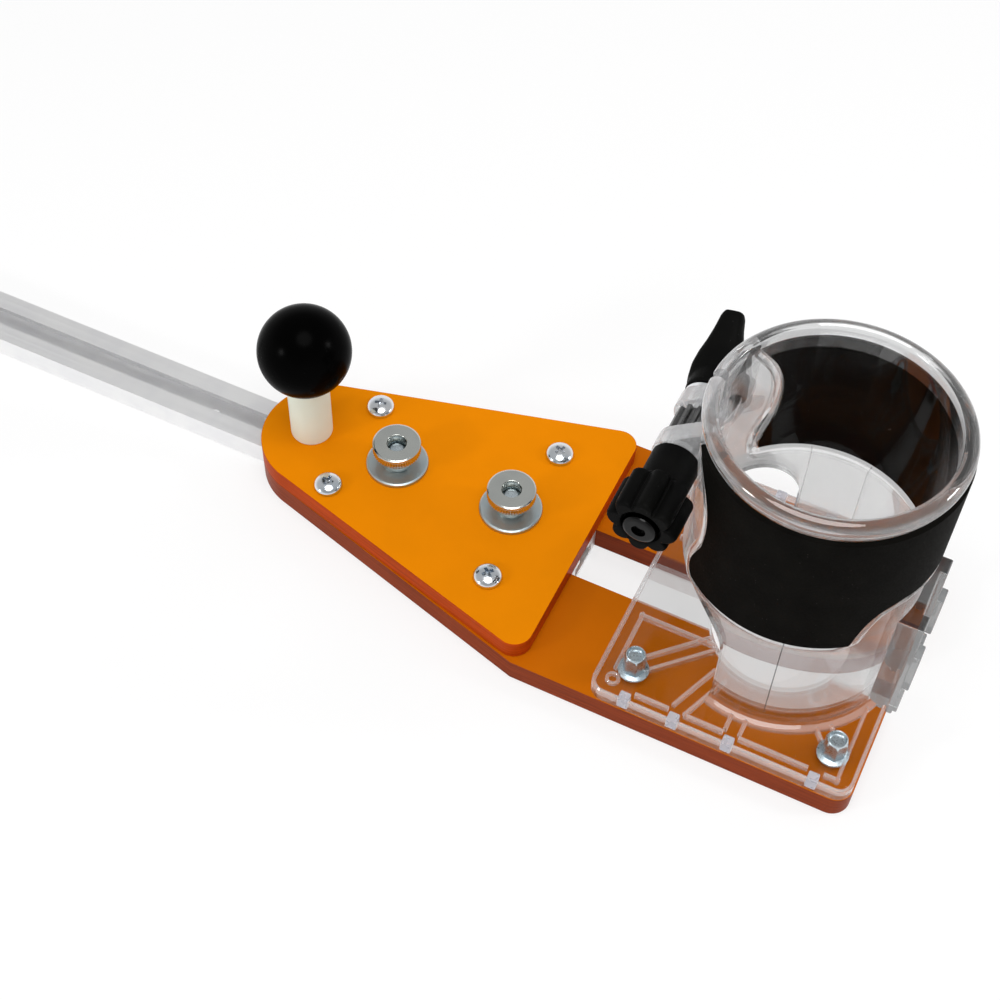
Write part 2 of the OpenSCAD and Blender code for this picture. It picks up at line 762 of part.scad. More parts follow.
// One wing, drawn in reach and in distance from the washer
module wing_profile() {
    tip_r = 2.4;
    tip = [wing_reach - tip_r, wing_sweep - tip_r];
    polygon([
        [0, wing_hub_l * 0.2], [wing_hub_r, wing_hub_l * 0.65], [wing_reach, wing_sweep - 2 * tip_r],
        [wing_reach, tip[1]], [tip[0], wing_sweep], [tip[0] - tip_r, wing_sweep - tip_r / 2],
        [wing_hub_r * 0.85, wing_hub_l], [0, wing_hub_l]
    ]);
    translate(tip) circle(r = tip_r);
}

module wing_nut() {
    color(black) framed() difference() {
        union() {
            clamp_rod(wing_hub_r, wing_y0, wing_y0 + wing_hub_l);
            for (s = [90, 270]) on_clamp_axis(wing_y0) rotate(s - wing_rest_a) rotate([90, 0, 0])
                translate([0, 0, -wing_t / 2]) linear_extrude(wing_t) wing_profile();
        }
        clamp_rod(clamp_bolt_r + turn_gap, wing_y0 - over, wing_y0 + wing_sweep);
    }
}

// The depth knob: a round hub and a lobed head with a recess for the bolt's head
module depth_knob() {
    core_r = knob_r - knob_lobe_r * 0.9;
    color(black) framed() difference() {
        union() {
            clamp_rod(knob_hub_r, knob_y1, knob_y0);
            on_clamp_axis(knob_y2) linear_extrude(knob_l) {
                circle(r = core_r);
                for (i = [0 : knob_lobes - 1]) rotate(i * 360 / knob_lobes)
                    translate([knob_r - knob_lobe_r, 0]) circle(r = knob_lobe_r);
            }
        }
        clamp_rod(clamp_bolt_r + turn_gap, knob_y2 - over, knob_y0 + over);
        clamp_rod(pinion_shaft_r, knob_y1, knob_y0 + over);
        clamp_rod(clamp_head_r + hole_gap, knob_y2 - over, knob_y2 + knob_recess);
    }
}

// The pinion between the ears and its hollow shaft, which runs out through the near ear into the knob
module pinion_gear() {
    y0 = -ear_gap / 2 + pinion_gap;
    y1 = ear_gap / 2 - pinion_gap;
    pitch_a = 360 / pinion_teeth;
    root_a = pitch_a * 0.32;
    tip_a = pitch_a * 0.14;
    color(zinc) framed() difference() {
        union() {
            on_clamp_axis(y0) linear_extrude(y1 - y0) polygon([
                for (i = [0 : pinion_teeth - 1], corner = [
                    [pinion_root_r, -root_a], [pinion_tip_r, -tip_a],
                    [pinion_tip_r, tip_a], [pinion_root_r, root_a]
                ]) corner[0] * [cos(i * pitch_a + corner[1]), sin(i * pitch_a + corner[1])]
            ]);
            clamp_rod(pinion_shaft_r, knob_y1, y0 + over);
        }
        clamp_rod(clamp_bolt_r + turn_gap, knob_y1 - over, y1 + over);
    }
}

top_plate();
near_side_plate();
far_side_plate();
plate_screws();
t_track();
t_bolts();
clamp_washers();
left_thumb_nut();
right_thumb_nut();
handle_post();
handle_screw();
handle_ball();
ball_insert();
base_plate();
motor_tube();
guide_bracket();
rubber_grip();
base_screws();
clamp_bolt();
wing_washer();
wing_nut();
depth_knob();
pinion_gear();
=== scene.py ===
"""Looks of the router circle cutting jig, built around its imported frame.

Pieces are drawn in millimetres from the axis of the handle post, and deliver() moves each one into the
jig's own frame in metres.
"""

import logging
import math
from collections.abc import Callable, Iterable, Sequence
from dataclasses import dataclass, field
from enum import Enum

import bmesh
import bpy
from mathutils import Matrix, Vector


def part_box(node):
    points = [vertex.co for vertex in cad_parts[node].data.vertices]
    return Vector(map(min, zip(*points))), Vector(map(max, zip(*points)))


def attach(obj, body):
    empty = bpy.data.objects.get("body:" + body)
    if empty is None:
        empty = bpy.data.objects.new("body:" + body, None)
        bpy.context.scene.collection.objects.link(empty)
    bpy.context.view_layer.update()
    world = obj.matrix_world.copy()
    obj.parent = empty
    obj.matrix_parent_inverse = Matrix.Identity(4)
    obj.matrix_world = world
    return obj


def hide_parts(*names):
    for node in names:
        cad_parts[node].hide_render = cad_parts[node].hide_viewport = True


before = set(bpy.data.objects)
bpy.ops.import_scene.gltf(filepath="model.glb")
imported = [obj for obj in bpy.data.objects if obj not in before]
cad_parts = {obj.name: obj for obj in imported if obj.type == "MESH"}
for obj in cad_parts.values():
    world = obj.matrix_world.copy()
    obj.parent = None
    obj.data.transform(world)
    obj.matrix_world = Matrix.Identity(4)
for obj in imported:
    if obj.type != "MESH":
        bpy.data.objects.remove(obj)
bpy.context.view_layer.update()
LOG = logging.getLogger("jig")

MM = 0.001
POST_X = sum(corner.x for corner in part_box("handle_post")) / 2
TO_FRAME = Matrix.Translation((POST_X, 0, 0)) @ Matrix.Scale(MM, 4)
TO_POST = TO_FRAME.inverted()

Rgb = tuple[float, float, float]
Flat = tuple[float, float]
Point = tuple[float, float, float]
Piece = bpy.types.Object
Node = bpy.types.Node
Socket = bpy.types.NodeSocket


class Body(Enum):
    """The moving bodies of the jig."""

    JIG = "jig"
    TRACK = "track"
    LEFT_NUT = "left_nut"
    RIGHT_NUT = "right_nut"
    BALL = "ball"
    WING = "wing"
    DEPTH = "depth_adjuster"


class Slot(Enum):
    """The record's material slots, one for each kind of drawn piece."""

    ORANGE = "orange_plate"
    ZINC = "zinc_steel"
    NICKEL = "nickel_nut"
    ALUMINIUM = "track_aluminium"
    NYLON = "white_nylon"
    BALL = "black_ball"
    CLEAR = "clear_plastic"
    RUBBER = "black_rubber"
    PLASTIC = "black_plastic"


class Cut(Enum):
    """How one solid works on another."""

    UNION = "UNION"
    DIFFERENCE = "DIFFERENCE"
    INTERSECT = "INTERSECT"


class Lay(Enum):
    """Which way a metal's working marks run."""

    ALONG_X = "along_x"
    TURNED = "turned"
    NONE = "none"


class ClearFace(Enum):
    """The finishes of the clear moulding's faces, by their place in its list of materials."""

    PLAIN = 0
    RIB = 1
    HOLDER = 2
    CUT = 3
    RIM = 4
    BORE = 5


class Graph:
    """Adds and links the nodes of one tree."""

    def __init__(self, tree: bpy.types.NodeTree) -> None:
        """Keeps the tree that the nodes go into."""
        self.tree = tree

    def link(self, source: Socket, target: Socket) -> None:
        """Joins two sockets."""
        self.tree.links.new(source, target)

    def put(self, node: Node, key: str | int, value: object) -> None:
        """Links or sets one input of a node.

        Args:
            node: the node.
            key: the input's name or index.
            value: the socket to link or the value to set.
        """
        if isinstance(value, Socket):
            self.link(value, node.inputs[key])
        else:
            node.inputs[key].default_value = value

    def add(self, kind: str, inputs: dict | None = None, **settings: object) -> Node:
        """Makes one node.

        Args:
            kind: Blender's name of the node type.
            inputs: values or sockets for its inputs, by name or index.
            settings: properties of the node itself.

        Returns:
            The new node.
        """
        node = self.tree.nodes.new(kind)
        for key, value in settings.items():
            setattr(node, key, value)
        for key, value in (inputs or {}).items():
            self.put(node, key, value)
        return node

    def math(self, operation: str, *values: object) -> Socket:
        """Works out one number from sockets or values, and returns its socket."""
        return self.add("ShaderNodeMath", dict(enumerate(values)), operation=operation).outputs[0]

    def ramp(self, value: object, low: float, high: float, first: float = 0.0, last: float = 1.0) -> Socket:
        """Maps a value smoothly from one range to another, and returns its socket."""
        inputs = {0: value, 1: low, 2: high, 3: first, 4: last}
        return self.add("ShaderNodeMapRange", inputs, interpolation_type="SMOOTHSTEP").outputs[0]

    def mix(self, share: object, first: object, second: object) -> Socket:
        """Mixes two colours, and returns the socket of the result."""
        return self.add("ShaderNodeMix", {0: share, 6: first, 7: second}, data_type="RGBA").outputs[2]

    def weigh(self, share: object, first: object, second: object) -> Socket:
        """Mixes two numbers, and returns the socket of the result."""
        return self.add("ShaderNodeMix", {0: share, 2: first, 3: second}, data_type="FLOAT").outputs[0]

    def blend(self, share: object, first: Socket, second: Socket) -> Socket:
        """Mixes two shaders, and returns the socket of the result."""
        return self.add("ShaderNodeMixShader", {0: share, 1: first, 2: second}).outputs[0]

    def noise(self, place: object, scale: object, detail: object, roughness: float = 0.5) -> Socket:
        """Lays cloudy noise over a place, and returns the socket of its value."""
        inputs = {"Vector": place, "Scale": scale, "Detail": detail, "Roughness": roughness}
        return self.add("ShaderNodeTexNoise", inputs).outputs[0]

    def upright(self, height: Socket) -> Socket:
        """Makes a vector along Z, and returns its socket."""
        return self.add("ShaderNodeCombineXYZ", {2: height}).outputs[0]


class Effect:
    """A shader node group that several finishes share."""

    def __init__(self, name: str, inputs: Sequence[str], outputs: Sequence[str]) -> None:
        """Makes the group, which takes a place and some numbers.

        Args:
            name: the group's name.
            inputs: names of the numbers that it takes.
            outputs: names of the numbers that it gives.
        """
        self.tree = bpy.data.node_groups.new(name, "ShaderNodeTree")
        sockets = self.tree.interface
        sockets.new_socket(name="Place", in_out="INPUT", socket_type="NodeSocketVector")
        for way, labels in (("INPUT", inputs), ("OUTPUT", outputs)):
            for label in labels:
                sockets.new_socket(name=label, in_out=way, socket_type="NodeSocketFloat")
        self.graph = Graph(self.tree)
        self.start = self.graph.add("NodeGroupInput").outputs
        self.end = self.graph.add("NodeGroupOutput").inputs

    def place(self, shade: "Shade", **values: float) -> bpy.types.bpy_prop_collection:
        """Puts the group into a material with its own values, and returns its outputs."""
        inputs = {"Place": shade.place, **values}
        return shade.graph.add("ShaderNodeGroup", inputs, node_tree=self.tree).outputs


def grain_effect() -> Effect:
    """Makes the fine uneven grain that moulded, cut and rolled surfaces show.

    Returns:
        The group.
    """
    effect = Effect("surface_grain", ("Scale", "Detail"), ("Mask", "Cloud"))
    graph, start = effect.graph, effect.start
    roughness, wide_scale, wide_detail = 0.62, 0.07, 2.0
    wide = graph.math("MULTIPLY", start["Scale"], wide_scale)
    graph.link(graph.noise(start["Place"], start["Scale"], start["Detail"], roughness), effect.end["Mask"])
    graph.link(graph.noise(start["Place"], wide, wide_detail), effect.end["Cloud"])
    return effect


def scuff_effect() -> Effect:
    """Makes thin worn lines, drawn out along X of the place that they are given.

    Returns:
        The group.
    """
    effect = Effect("worn_lines", ("Scale", "Amount"), ("Mask",))
    graph, start = effect.graph, effect.start
    drawn_out, detail, roughness = (0.05, 1.0, 1.0), 3.0, 0.7
    rarest, spread, fade = 0.78, 0.2, 0.12
    drawn = graph.add("ShaderNodeVectorMath", {0: start["Place"], 1: drawn_out}, operation="MULTIPLY")
    lines = graph.noise(drawn.outputs[0], start["Scale"], detail, roughness)
    edge = graph.math("SUBTRACT", rarest, graph.math("MULTIPLY", start["Amount"], spread))
    limits = {0: lines, 1: edge, 2: graph.math("ADD", edge, fade), 3: 0.0, 4: 1.0}
    graph.link(graph.add("ShaderNodeMapRange", limits).outputs[0], effect.end["Mask"])
    return effect


def speck_effect() -> Effect:
    """Makes tiny pale specks of dust and pitting.

    Returns:
        The group.
    """
    effect = Effect("fine_specks", ("Scale", "Size"), ("Mask",))
    graph, start = effect.graph, effect.start
    rarity = 0.82
    cells = graph.add("ShaderNodeTexVoronoi", {"Vector": start["Place"], "Scale": start["Scale"]}).outputs
    chance = graph.add("ShaderNodeSeparateColor", {0: cells["Color"]}).outputs[0]
    near = graph.math("LESS_THAN", cells["Distance"], start["Size"])
    rare = graph.math("GREATER_THAN", chance, rarity)
    graph.link(graph.math("MULTIPLY", near, rare), effect.end["Mask"])
    return effect


GRAIN = grain_effect()
SCUFFS = scuff_effect()
SPECKS = speck_effect()


def darker(colour: Rgb, share: float) -> Rgb:
    """Returns a colour darkened to a share of itself."""
    return tuple(share * part for part in colour)


def opaque(colour: Rgb) -> tuple[float, ...]:
    """Returns a colour with full alpha."""
    return (*colour, 1.0)


WHITE = opaque((1.0, 1.0, 1.0))


class Shade:
    """One material under way: its nodes, its shader and the place on the piece."""

    def __init__(self, name: str) -> None:
        """Starts a material.

        Args:
            name: the material's name.
        """
        self.material = bpy.data.materials.new(name)
        self.material.use_nodes = True
        self.graph = Graph(self.material.node_tree)
        self.bsdf = self.material.node_tree.nodes["Principled BSDF"]
        coordinates = self.graph.add("ShaderNodeTexCoord")
        self.place = coordinates.outputs["Object"]
        self.normal = coordinates.outputs["Normal"]

    def feed(self, socket: str, value: object) -> None:
        """Links or sets one input of the shader."""
        self.graph.put(self.bsdf, socket, value)

    def bump(self, height: Socket, depth: float, strength: float) -> None:
        """Raises the surface by a height of 0 to 1.

        Args:
            height: the socket that gives the height.
            depth: how high 1 is, in metres.
            strength: share of the effect that shows.
        """
        inputs = {"Height": height, "Distance": depth, "Strength": strength}
        self.feed("Normal", self.graph.add("ShaderNodeBump", inputs).outputs[0])


@dataclass(frozen=True)
class Finish:
    """A finish of the jig, which makes its material once.

    Every finish has a grain: its scale and detail, the spans of its wide cloud and its fine mask that show,
    and the depth in metres and the strength of its bump.
    """

    name: str
    colour: Rgb
    scale: float = 900.0
    detail: float = 4.0
    cloud: Flat = (0.3, 0.7)
    mask: Flat = (0.25, 0.75)
    depth: float = 0.00004
    strength: float = 0.5

    def material(self) -> bpy.types.Material:
        """Makes the finish's material at the first call, and finds it at the others.

        Returns:
            The material.
        """
        found = bpy.data.materials.get(self.name)
        if found is None:
            shade = Shade(self.name)
            self.dress(shade)
            found = shade.material
        return found

    def dress(self, shade: Shade) -> None:
        """Builds the finish's nodes in a material."""
        raise NotImplementedError

    def grain(self, shade: Shade) -> bpy.types.bpy_prop_collection:
        """Puts the finish's grain into a material, and returns its outputs."""
        return GRAIN.place(shade, Scale=self.scale, Detail=self.detail)

    def mottled(self, shade: Shade, cloud: Socket, first: Rgb, second: Rgb) -> Socket:
        """Mixes two colours by the grain's wide cloud, and returns the socket of the result."""
        share = shade.graph.ramp(cloud, *self.cloud)
        return shade.graph.mix(share, opaque(first), opaque(second))


@dataclass(frozen=True)
class SheetFinish(Finish):
    """Coloured plastic sheet with satin faces and darker sawn edges."""

    edge: Rgb = (0.5, 0.06, 0.004)
    specular: float = 0.05
    index: float = 1.25
    mask: Flat = (0.2, 0.8)
    depth: float = 0.00006
    face_span: Flat = (0.8, 0.97)
    face_deep: float = 0.96
    face_height: float = 0.3
    edge_deep: float = 0.7
    saw_marks: Point = (40.0, 40.0, 2500.0)
    saw_bite: Flat = (0.35, 0.65)
    rough: Flat = (0.3, 0.42)
    scuff_scale: float = 420.0
    scuff_amount: float = 0.35
    scuff_rough: float = 0.12

    def dress(self, shade: Shade) -> None:
        """Builds the faces, the sawn edges and their marks.

        Args:
            shade: the material under way.
        """
        graph, grain = shade.graph, self.grain(shade)
        up = graph.add("ShaderNodeSeparateXYZ", {0: shade.normal}).outputs[2]
        face = graph.ramp(graph.math("ABSOLUTE", up), *self.face_span)
        tone = self.mottled(shade, grain["Cloud"], darker(self.colour, self.face_deep), self.colour)
        saw = graph.add("ShaderNodeMapping", {0: shade.place, 3: self.saw_marks}).outputs[0]
        teeth = graph.noise(saw, scale=1.0, detail=3.0)
        bite = graph.ramp(teeth, *self.saw_bite)
        sawn = graph.mix(bite, opaque(darker(self.edge, self.edge_deep)), opaque(self.edge))
        shade.feed("Base Color", graph.mix(face, sawn, tone))
        scuffs = SCUFFS.place(shade, Scale=self.scuff_scale, Amount=self.scuff_amount)[0]
        worn = graph.math("MULTIPLY", scuffs, self.scuff_rough)
        shade.feed("Roughness", graph.math("ADD", graph.ramp(grain["Mask"], *self.mask, *self.rough), worn))
        edge_height = graph.math("MULTIPLY", teeth, graph.math("SUBTRACT", 1.0, face))
        face_height = graph.math("MULTIPLY", grain["Mask"], self.face_height)
        shade.bump(graph.math("ADD", edge_height, face_height), self.depth, self.strength)
        shade.feed("Specular IOR Level", self.specular)
        shade.feed("IOR", self.index)


@dataclass(frozen=True)
class MouldedFinish(Finish):
    """Plastic or rubber straight from its mould or lathe."""

    second: Rgb = (0.0, 0.0, 0.0)
    rough: Flat = (0.4, 0.6)
    detail: float = 5.0
    strength: float = 0.6
    specks: float = 0.0
    speck_scale: float = 700.0
    speck_colour: Rgb = (0.12, 0.12, 0.115)
    specular: float = 0.5
    index: float = 1.45
    subsurface: float = 0.0
    subsurface_radius: Rgb = (1.0, 0.95, 0.8)
    subsurface_depth: float = 0.003

    def dress(self, shade: Shade) -> None:
        """Builds the mottled colour, the grain and the specks.

        Args:
            shade: the material under way.
        """
        graph, grain = shade.graph, self.grain(shade)
        tone = self.mottled(shade, grain["Cloud"], self.second, self.colour)
        if self.specks:
            mask = SPECKS.place(shade, Scale=self.speck_scale, Size=self.specks)[0]
            tone = graph.mix(mask, tone, opaque(self.speck_colour))
        shade.feed("Base Color", tone)
        shade.feed("Roughness", graph.ramp(grain["Mask"], *self.mask, *self.rough))
        shade.bump(grain["Mask"], self.depth, self.strength)
        shade.feed("Specular IOR Level", self.specular)
        shade.feed("IOR", self.index)
        if self.subsurface:
            shade.feed("Subsurface Weight", self.subsurface)
            shade.feed("Subsurface Radius", self.subsurface_radius)
            shade.feed("Subsurface Scale", self.subsurface_depth)


@dataclass(frozen=True)
class MetalFinish(Finish):
    """Plated or bare metal with the marks of its making."""

    tint: Rgb = (0.6, 0.66, 0.72)
    scale: float = 1400.0
    detail: float = 3.0
    cloud: Flat = (0.35, 0.7)
    depth: float = 0.00001
    rough: Flat = (0.12, 0.24)
    scuff_scale: float = 1500.0
    scuff_amount: float = 0.3
    scuff_rough: float = 0.08
    lay: Lay = Lay.NONE
    centre: Flat = (0.0, 0.0)
    pitch: float = 0.00035
    ring_rise: Flat = (0.2, 0.8)
    drawn_lines: Point = (6.0, 1800.0, 1800.0)

    def dress(self, shade: Shade) -> None:
        """Builds the plating's tint and the lines or rings of its making.

        Args:
            shade: the material under way.
        """
        graph, grain = shade.graph, self.grain(shade)
        marks = self.marks(shade, grain["Mask"])
        rough = graph.ramp(marks, *self.mask, *self.rough)
        scuffs = SCUFFS.place(shade, Scale=self.scuff_scale, Amount=self.scuff_amount)[0]
        shade.feed("Metallic", 1.0)
        shade.feed("Base Color", self.mottled(shade, grain["Cloud"], self.colour, self.tint))
        shade.feed("Roughness", graph.math("ADD", rough, graph.math("MULTIPLY", scuffs, self.scuff_rough)))
        shade.bump(marks, self.depth, self.strength)

    def marks(self, shade: Shade, plain: Socket) -> Socket:
        """Draws the marks of the metal's making.

        Args:
            shade: the material under way.
            plain: the grain of a metal without lines or rings.

        Returns:
            The socket of the drawn lines, the turned rings or the grain.
        """
        graph = shade.graph
        if self.lay is Lay.ALONG_X:
            drawn = graph.add("ShaderNodeMapping", {0: shade.place, 3: self.drawn_lines}).outputs[0]
            return graph.noise(drawn, scale=1.0, detail=3.0)
        if self.lay is Lay.TURNED:
            move = (-self.centre[0], -self.centre[1], 0.0)
            flat = graph.add("ShaderNodeMapping", {0: shade.place, 1: move, 3: (1.0, 1.0, 0.0)}).outputs[0]
            far = graph.add("ShaderNodeVectorMath", {0: flat}, operation="LENGTH").outputs["Value"]
            turn = graph.math("MULTIPLY", far, math.tau / self.pitch)
            return graph.ramp(graph.math("SINE", turn), -1.0, 1.0, *self.ring_rise)
        return plain


@dataclass(frozen=True)
class ClearFinish(Finish):
    """Clear moulded plastic."""

    scale: float = 260.0
    detail: float = 2.0
    cloud: Flat = (0.4, 0.6)
    mask: Flat = (0.3, 0.7)
    depth: float = 0.00002
    strength: float = 0.25
    rough: float = 0.02
    rough_span: Flat = (0.5, 1.5)
    # The white diffuse share from facing to grazing faces is a milky haze and a painted sheen for bright edge
    # reflections.
    haze_and_sheen: Flat = (0.0, 0.55)
    haze_and_sheen_span: Flat = (0.62, 0.98)
    haze_and_sheen_colour: Rgb = (0.86, 0.87, 0.88)
    straight: float = 0.33
    straight_colour: Rgb = (0.87, 0.87, 0.87)
    lit_colour: Rgb = (0.96, 0.96, 0.96)
    index: float = 1.38
    specular: float = 0.0
    coat: float = 0.0
    coat_index: float = 1.7
    coat_rough: float = 0.05
    deep: float = 0.985

    def dress(self, shade: Shade) -> None:
        """Builds the clear shader, with a milky haze and a painted sheen along its grazing edges, and lets
        light through to what lies under it.

        Args:
            shade: the material under way.
        """
        graph, grain = shade.graph, self.grain(shade)
        shade.feed("Transmission Weight", 1.0)
        shade.feed("IOR", self.index)
        shade.feed("Specular IOR Level", self.specular)
        shade.feed("Coat Weight", self.coat)
        shade.feed("Coat IOR", self.coat_index)
        shade.feed("Coat Roughness", self.coat_rough)
        # White diffuse toward grazing faces: a milky haze and a painted sheen standing in for edge
        # reflections.
        edge = graph.add("ShaderNodeLayerWeight", {"Blend": 0.5}).outputs["Facing"]
        haze_and_sheen = graph.add("ShaderNodeBsdfDiffuse", {"Color": opaque(self.haze_and_sheen_colour)}).outputs[0]
        thin = graph.add("ShaderNodeBsdfTransparent", {"Color": opaque(self.straight_colour)}).outputs[0]
        through = graph.add("ShaderNodeBsdfTransparent", {"Color": opaque(self.lit_colour)}).outputs[0]
        hazy_with_sheen = graph.blend(graph.ramp(edge, *self.haze_and_sheen_span, *self.haze_and_sheen), shade.bsdf.outputs[0], haze_and_sheen)
        rays = graph.add("ShaderNodeLightPath").outputs
        lit = graph.math("MAXIMUM", rays["Is Shadow Ray"], rays["Is Diffuse Ray"])
        both = graph.blend(lit, graph.blend(self.straight, hazy_with_sheen, thin), through)
        graph.link(both, shade.material.node_tree.nodes["Material Output"].inputs[0])
        rough = [self.rough * share for share in self.rough_span]
        # deep sets how dark the wide cloud goes: a faint random tone, or painted facets where it is low.
        deep = darker(self.colour, self.deep)
        shade.feed("Base Color", self.mottled(shade, grain["Cloud"], deep, self.colour))
        shade.feed("Roughness", graph.ramp(grain["Mask"], *self.mask, *rough))
        shade.bump(grain["Cloud"], self.depth, self.strength)


TOP_SHEET = SheetFinish("orange_top_sheet", (0.79, 0.235, 0.001))
# The side plates' orange and edges are the top plate's sheet painted darker: painted shade under the top
# plate.
SHADED_FORK_SHEET = SheetFinish("orange_fork_sheet_painted_shade", (0.53, 0.127, 0.001), edge=(0.28, 0.047, 0.012), specular=0.1)
ZINC = MetalFinish("bright_zinc", (0.78, 0.79, 0.81), rough=(0.1, 0.22), tint=(0.64, 0.7, 0.76))
BOLT_ZINC = MetalFinish("blue_zinc", (0.58, 0.65, 0.69), rough=(0.24, 0.36), tint=(0.48, 0.58, 0.64))
WASHER_ZINC = MetalFinish("dull_zinc", (0.52, 0.57, 0.58), rough=(0.3, 0.42), tint=(0.45, 0.53, 0.56))
BLACK_STEEL = MetalFinish("blackened_steel", (0.02, 0.02, 0.02), rough=(0.1, 0.2), tint=(0.012, 0.012, 0.012))
DARK_STEEL = MetalFinish("oiled_steel", (0.2, 0.2, 0.2), rough=(0.25, 0.4), tint=(0.12, 0.12, 0.12))
ALUMINIUM = MetalFinish("drawn_aluminium", (0.9, 0.9, 0.9), rough=(0.42, 0.55), lay=Lay.ALONG_X,
                        depth=0.00002, tint=(0.86, 0.86, 0.87))
BRASS = MetalFinish("turned_brass", (0.78, 0.57, 0.24), rough=(0.2, 0.35), tint=(0.66, 0.46, 0.18))
NYLON = MouldedFinish("turned_nylon", (0.8, 0.85, 0.74), second=(0.76, 0.8, 0.68), rough=(0.35, 0.5),
                      scale=500.0, specular=0.3, subsurface=0.15)
BALL_BLACK = MouldedFinish("polished_black", (0.001, 0.001, 0.001), second=(0.0006, 0.0006, 0.0006),
                           rough=(0.2, 0.25), depth=0.000004, specular=0.03, index=1.3)
RUBBER = MouldedFinish("black_grip_rubber", (0.005, 0.0046, 0.0038), second=(0.0035, 0.0032, 0.0027),
                       rough=(0.55, 0.75), scale=1500.0, depth=0.00006, specks=0.1,
                       speck_colour=(0.03, 0.027, 0.024), specular=0.07, index=1.22)
BLACK_PLASTIC = MouldedFinish("black_moulding", (0.004, 0.004, 0.0037), second=(0.0025, 0.0025, 0.0025),
                              rough=(0.4, 0.58), scale=1300.0, depth=0.00005, specks=0.07,
                              speck_colour=(0.03, 0.03, 0.03), specular=0.1, index=1.25)
CLEAR = ClearFinish("clear_moulding", (0.76, 0.765, 0.765))
FACE_FINISHES = {
    # Ribs and ears turn nearly white toward grazing faces: a painted highlight along their rounded tops.
    ClearFace.RIB: ClearFinish("clear_ribs_painted_highlight", (0.86, 0.865, 0.87), rough=0.05, haze_and_sheen=(0.28, 0.95),
                               haze_and_sheen_colour=(0.95, 0.955, 0.97), specular=1.0, coat=1.0),
    # The holder's colour swings between nearly black and pale in coarse patches: painted dark and bright
    # facets, painted reflections and shade.
    ClearFace.HOLDER: ClearFinish("clear_holder_painted_facets", (0.6, 0.61, 0.61), rough=0.05, haze_and_sheen=(0.4, 0.6),
                                  haze_and_sheen_colour=(0.27, 0.28, 0.285), straight=0.0, specular=1.0, coat=1.0,
                                  scale=170.0, deep=0.02),
    # The window's cut faces are coloured nearly black: painted shade where the clear edges look dark.
    ClearFace.CUT: ClearFinish("clear_cut_edges_painted_dark", (0.04, 0.041, 0.041), haze_and_sheen=(0.0, 0.05), straight=0.05),
    ClearFace.RIM: ClearFinish("clear_rim", (0.74, 0.745, 0.75), haze_and_sheen=(0.03, 0.5), straight=0.2,
                               specular=1.0, coat=1.0),
    ClearFace.BORE: ClearFinish("clear_bore", (0.82, 0.825, 0.825), haze_and_sheen=(0.0, 0.4), straight=0.7),
}
FROSTED = ClearFinish("frosted_tabs", (0.6, 0.64, 0.72), rough=0.3, haze_and_sheen=(0.6, 0.75),
                      haze_and_sheen_colour=(0.66, 0.71, 0.8), specular=1.0)


def show(name: str, data: bpy.types.ID) -> Piece:
    """Puts a mesh, a lamp or a camera into the scene.

    Args:
        name: the new object's name.
        data: the mesh, lamp or camera.

    Returns:
        The new object.
    """
    obj = bpy.data.objects.new(name, data)
    bpy.context.scene.collection.objects.link(obj)
    return obj


def show_work(name: str, work: bmesh.types.BMesh) -> Piece:
    """Ends the work on a mesh and puts it into the scene.

    Args:
        name: the object's name.
        work: the mesh under way.

    Returns:
        The new object.
    """
    mesh = bpy.data.meshes.new(name)
    work.to_mesh(mesh)
    work.free()
    return show(name, mesh)


def loose_object(name: str, corners: Sequence[Point], edges: Sequence[Sequence[int]] = ()) -> Piece:
    """Makes loose points and edges, for copies to sit on or ribs to run along.

    Args:
        name: the object's name.
        corners: the points.
        edges: both points of each edge, by number.

    Returns:
        The object that holds them.
    """
    mesh = bpy.data.meshes.new(name)
    mesh.from_pydata(list(corners), list(edges), [])
    return show(name, mesh)


def new_object(name: str, corners: Iterable[Sequence[float]], faces: Iterable[Sequence[int]]) -> Piece:
    """Makes a mesh object, with its faces pointing outwards.

    Args:
        name: the object's name.
        corners: its corners.
        faces: the corners of each face, by number.

    Returns:
        The object.
    """
    mesh = bpy.data.meshes.new(name)
    mesh.from_pydata([tuple(corner) for corner in corners], [], [tuple(face) for face in faces])
    work = bmesh.new()
    work.from_mesh(mesh)
    bpy.data.meshes.remove(mesh)
    bmesh.ops.recalc_face_normals(work, faces=work.faces)
    return show_work(name, work)


def bake(obj: Piece) -> Piece:
    """Turns an object's modifiers into plain mesh.

    Args:
        obj: the object.

    Returns:
        The same object.
    """
    bpy.context.view_layer.update()
    graph = bpy.context.evaluated_depsgraph_get()
    mesh = bpy.data.meshes.new_from_object(obj.evaluated_get(graph))
    obj.modifiers.clear()
    old, obj.data = obj.data, mesh
    bpy.data.meshes.remove(old)
    return obj


def discard(obj: Piece) -> None:
    """Removes a helper object and its mesh.

    Args:
        obj: the object.
    """
    mesh = obj.data
    bpy.data.objects.remove(obj)
    bpy.data.meshes.remove(mesh)


def combine(target: Piece, tool: Piece, cut: Cut, tangled: bool = False) -> Piece:
    """Works one solid on another and removes the tool.

    Args:
        target: the solid that stays.
        tool: the solid that works on it.
        cut: what it does.
        tangled: True where the tool's own shells overlap.

    Returns:
        The target.
    """
    modifier = target.modifiers.new("cut", "BOOLEAN")
    modifier.operation = cut.value
    modifier.object = tool
    modifier.solver = "EXACT"
    modifier.use_self = tangled
    bake(target)
    discard(tool)
    return target


def merge(name: str, pieces: Sequence[Piece]) -> Piece:
    """Puts several meshes into one object, without working on them.

    Args:
        name: the object's name.
        pieces: the pieces, which are removed.

    Returns:
        The object.
    """
    work = bmesh.new()
    for piece in pieces:
        work.from_mesh(piece.data)
        discard(piece)
    return show_work(name, work)


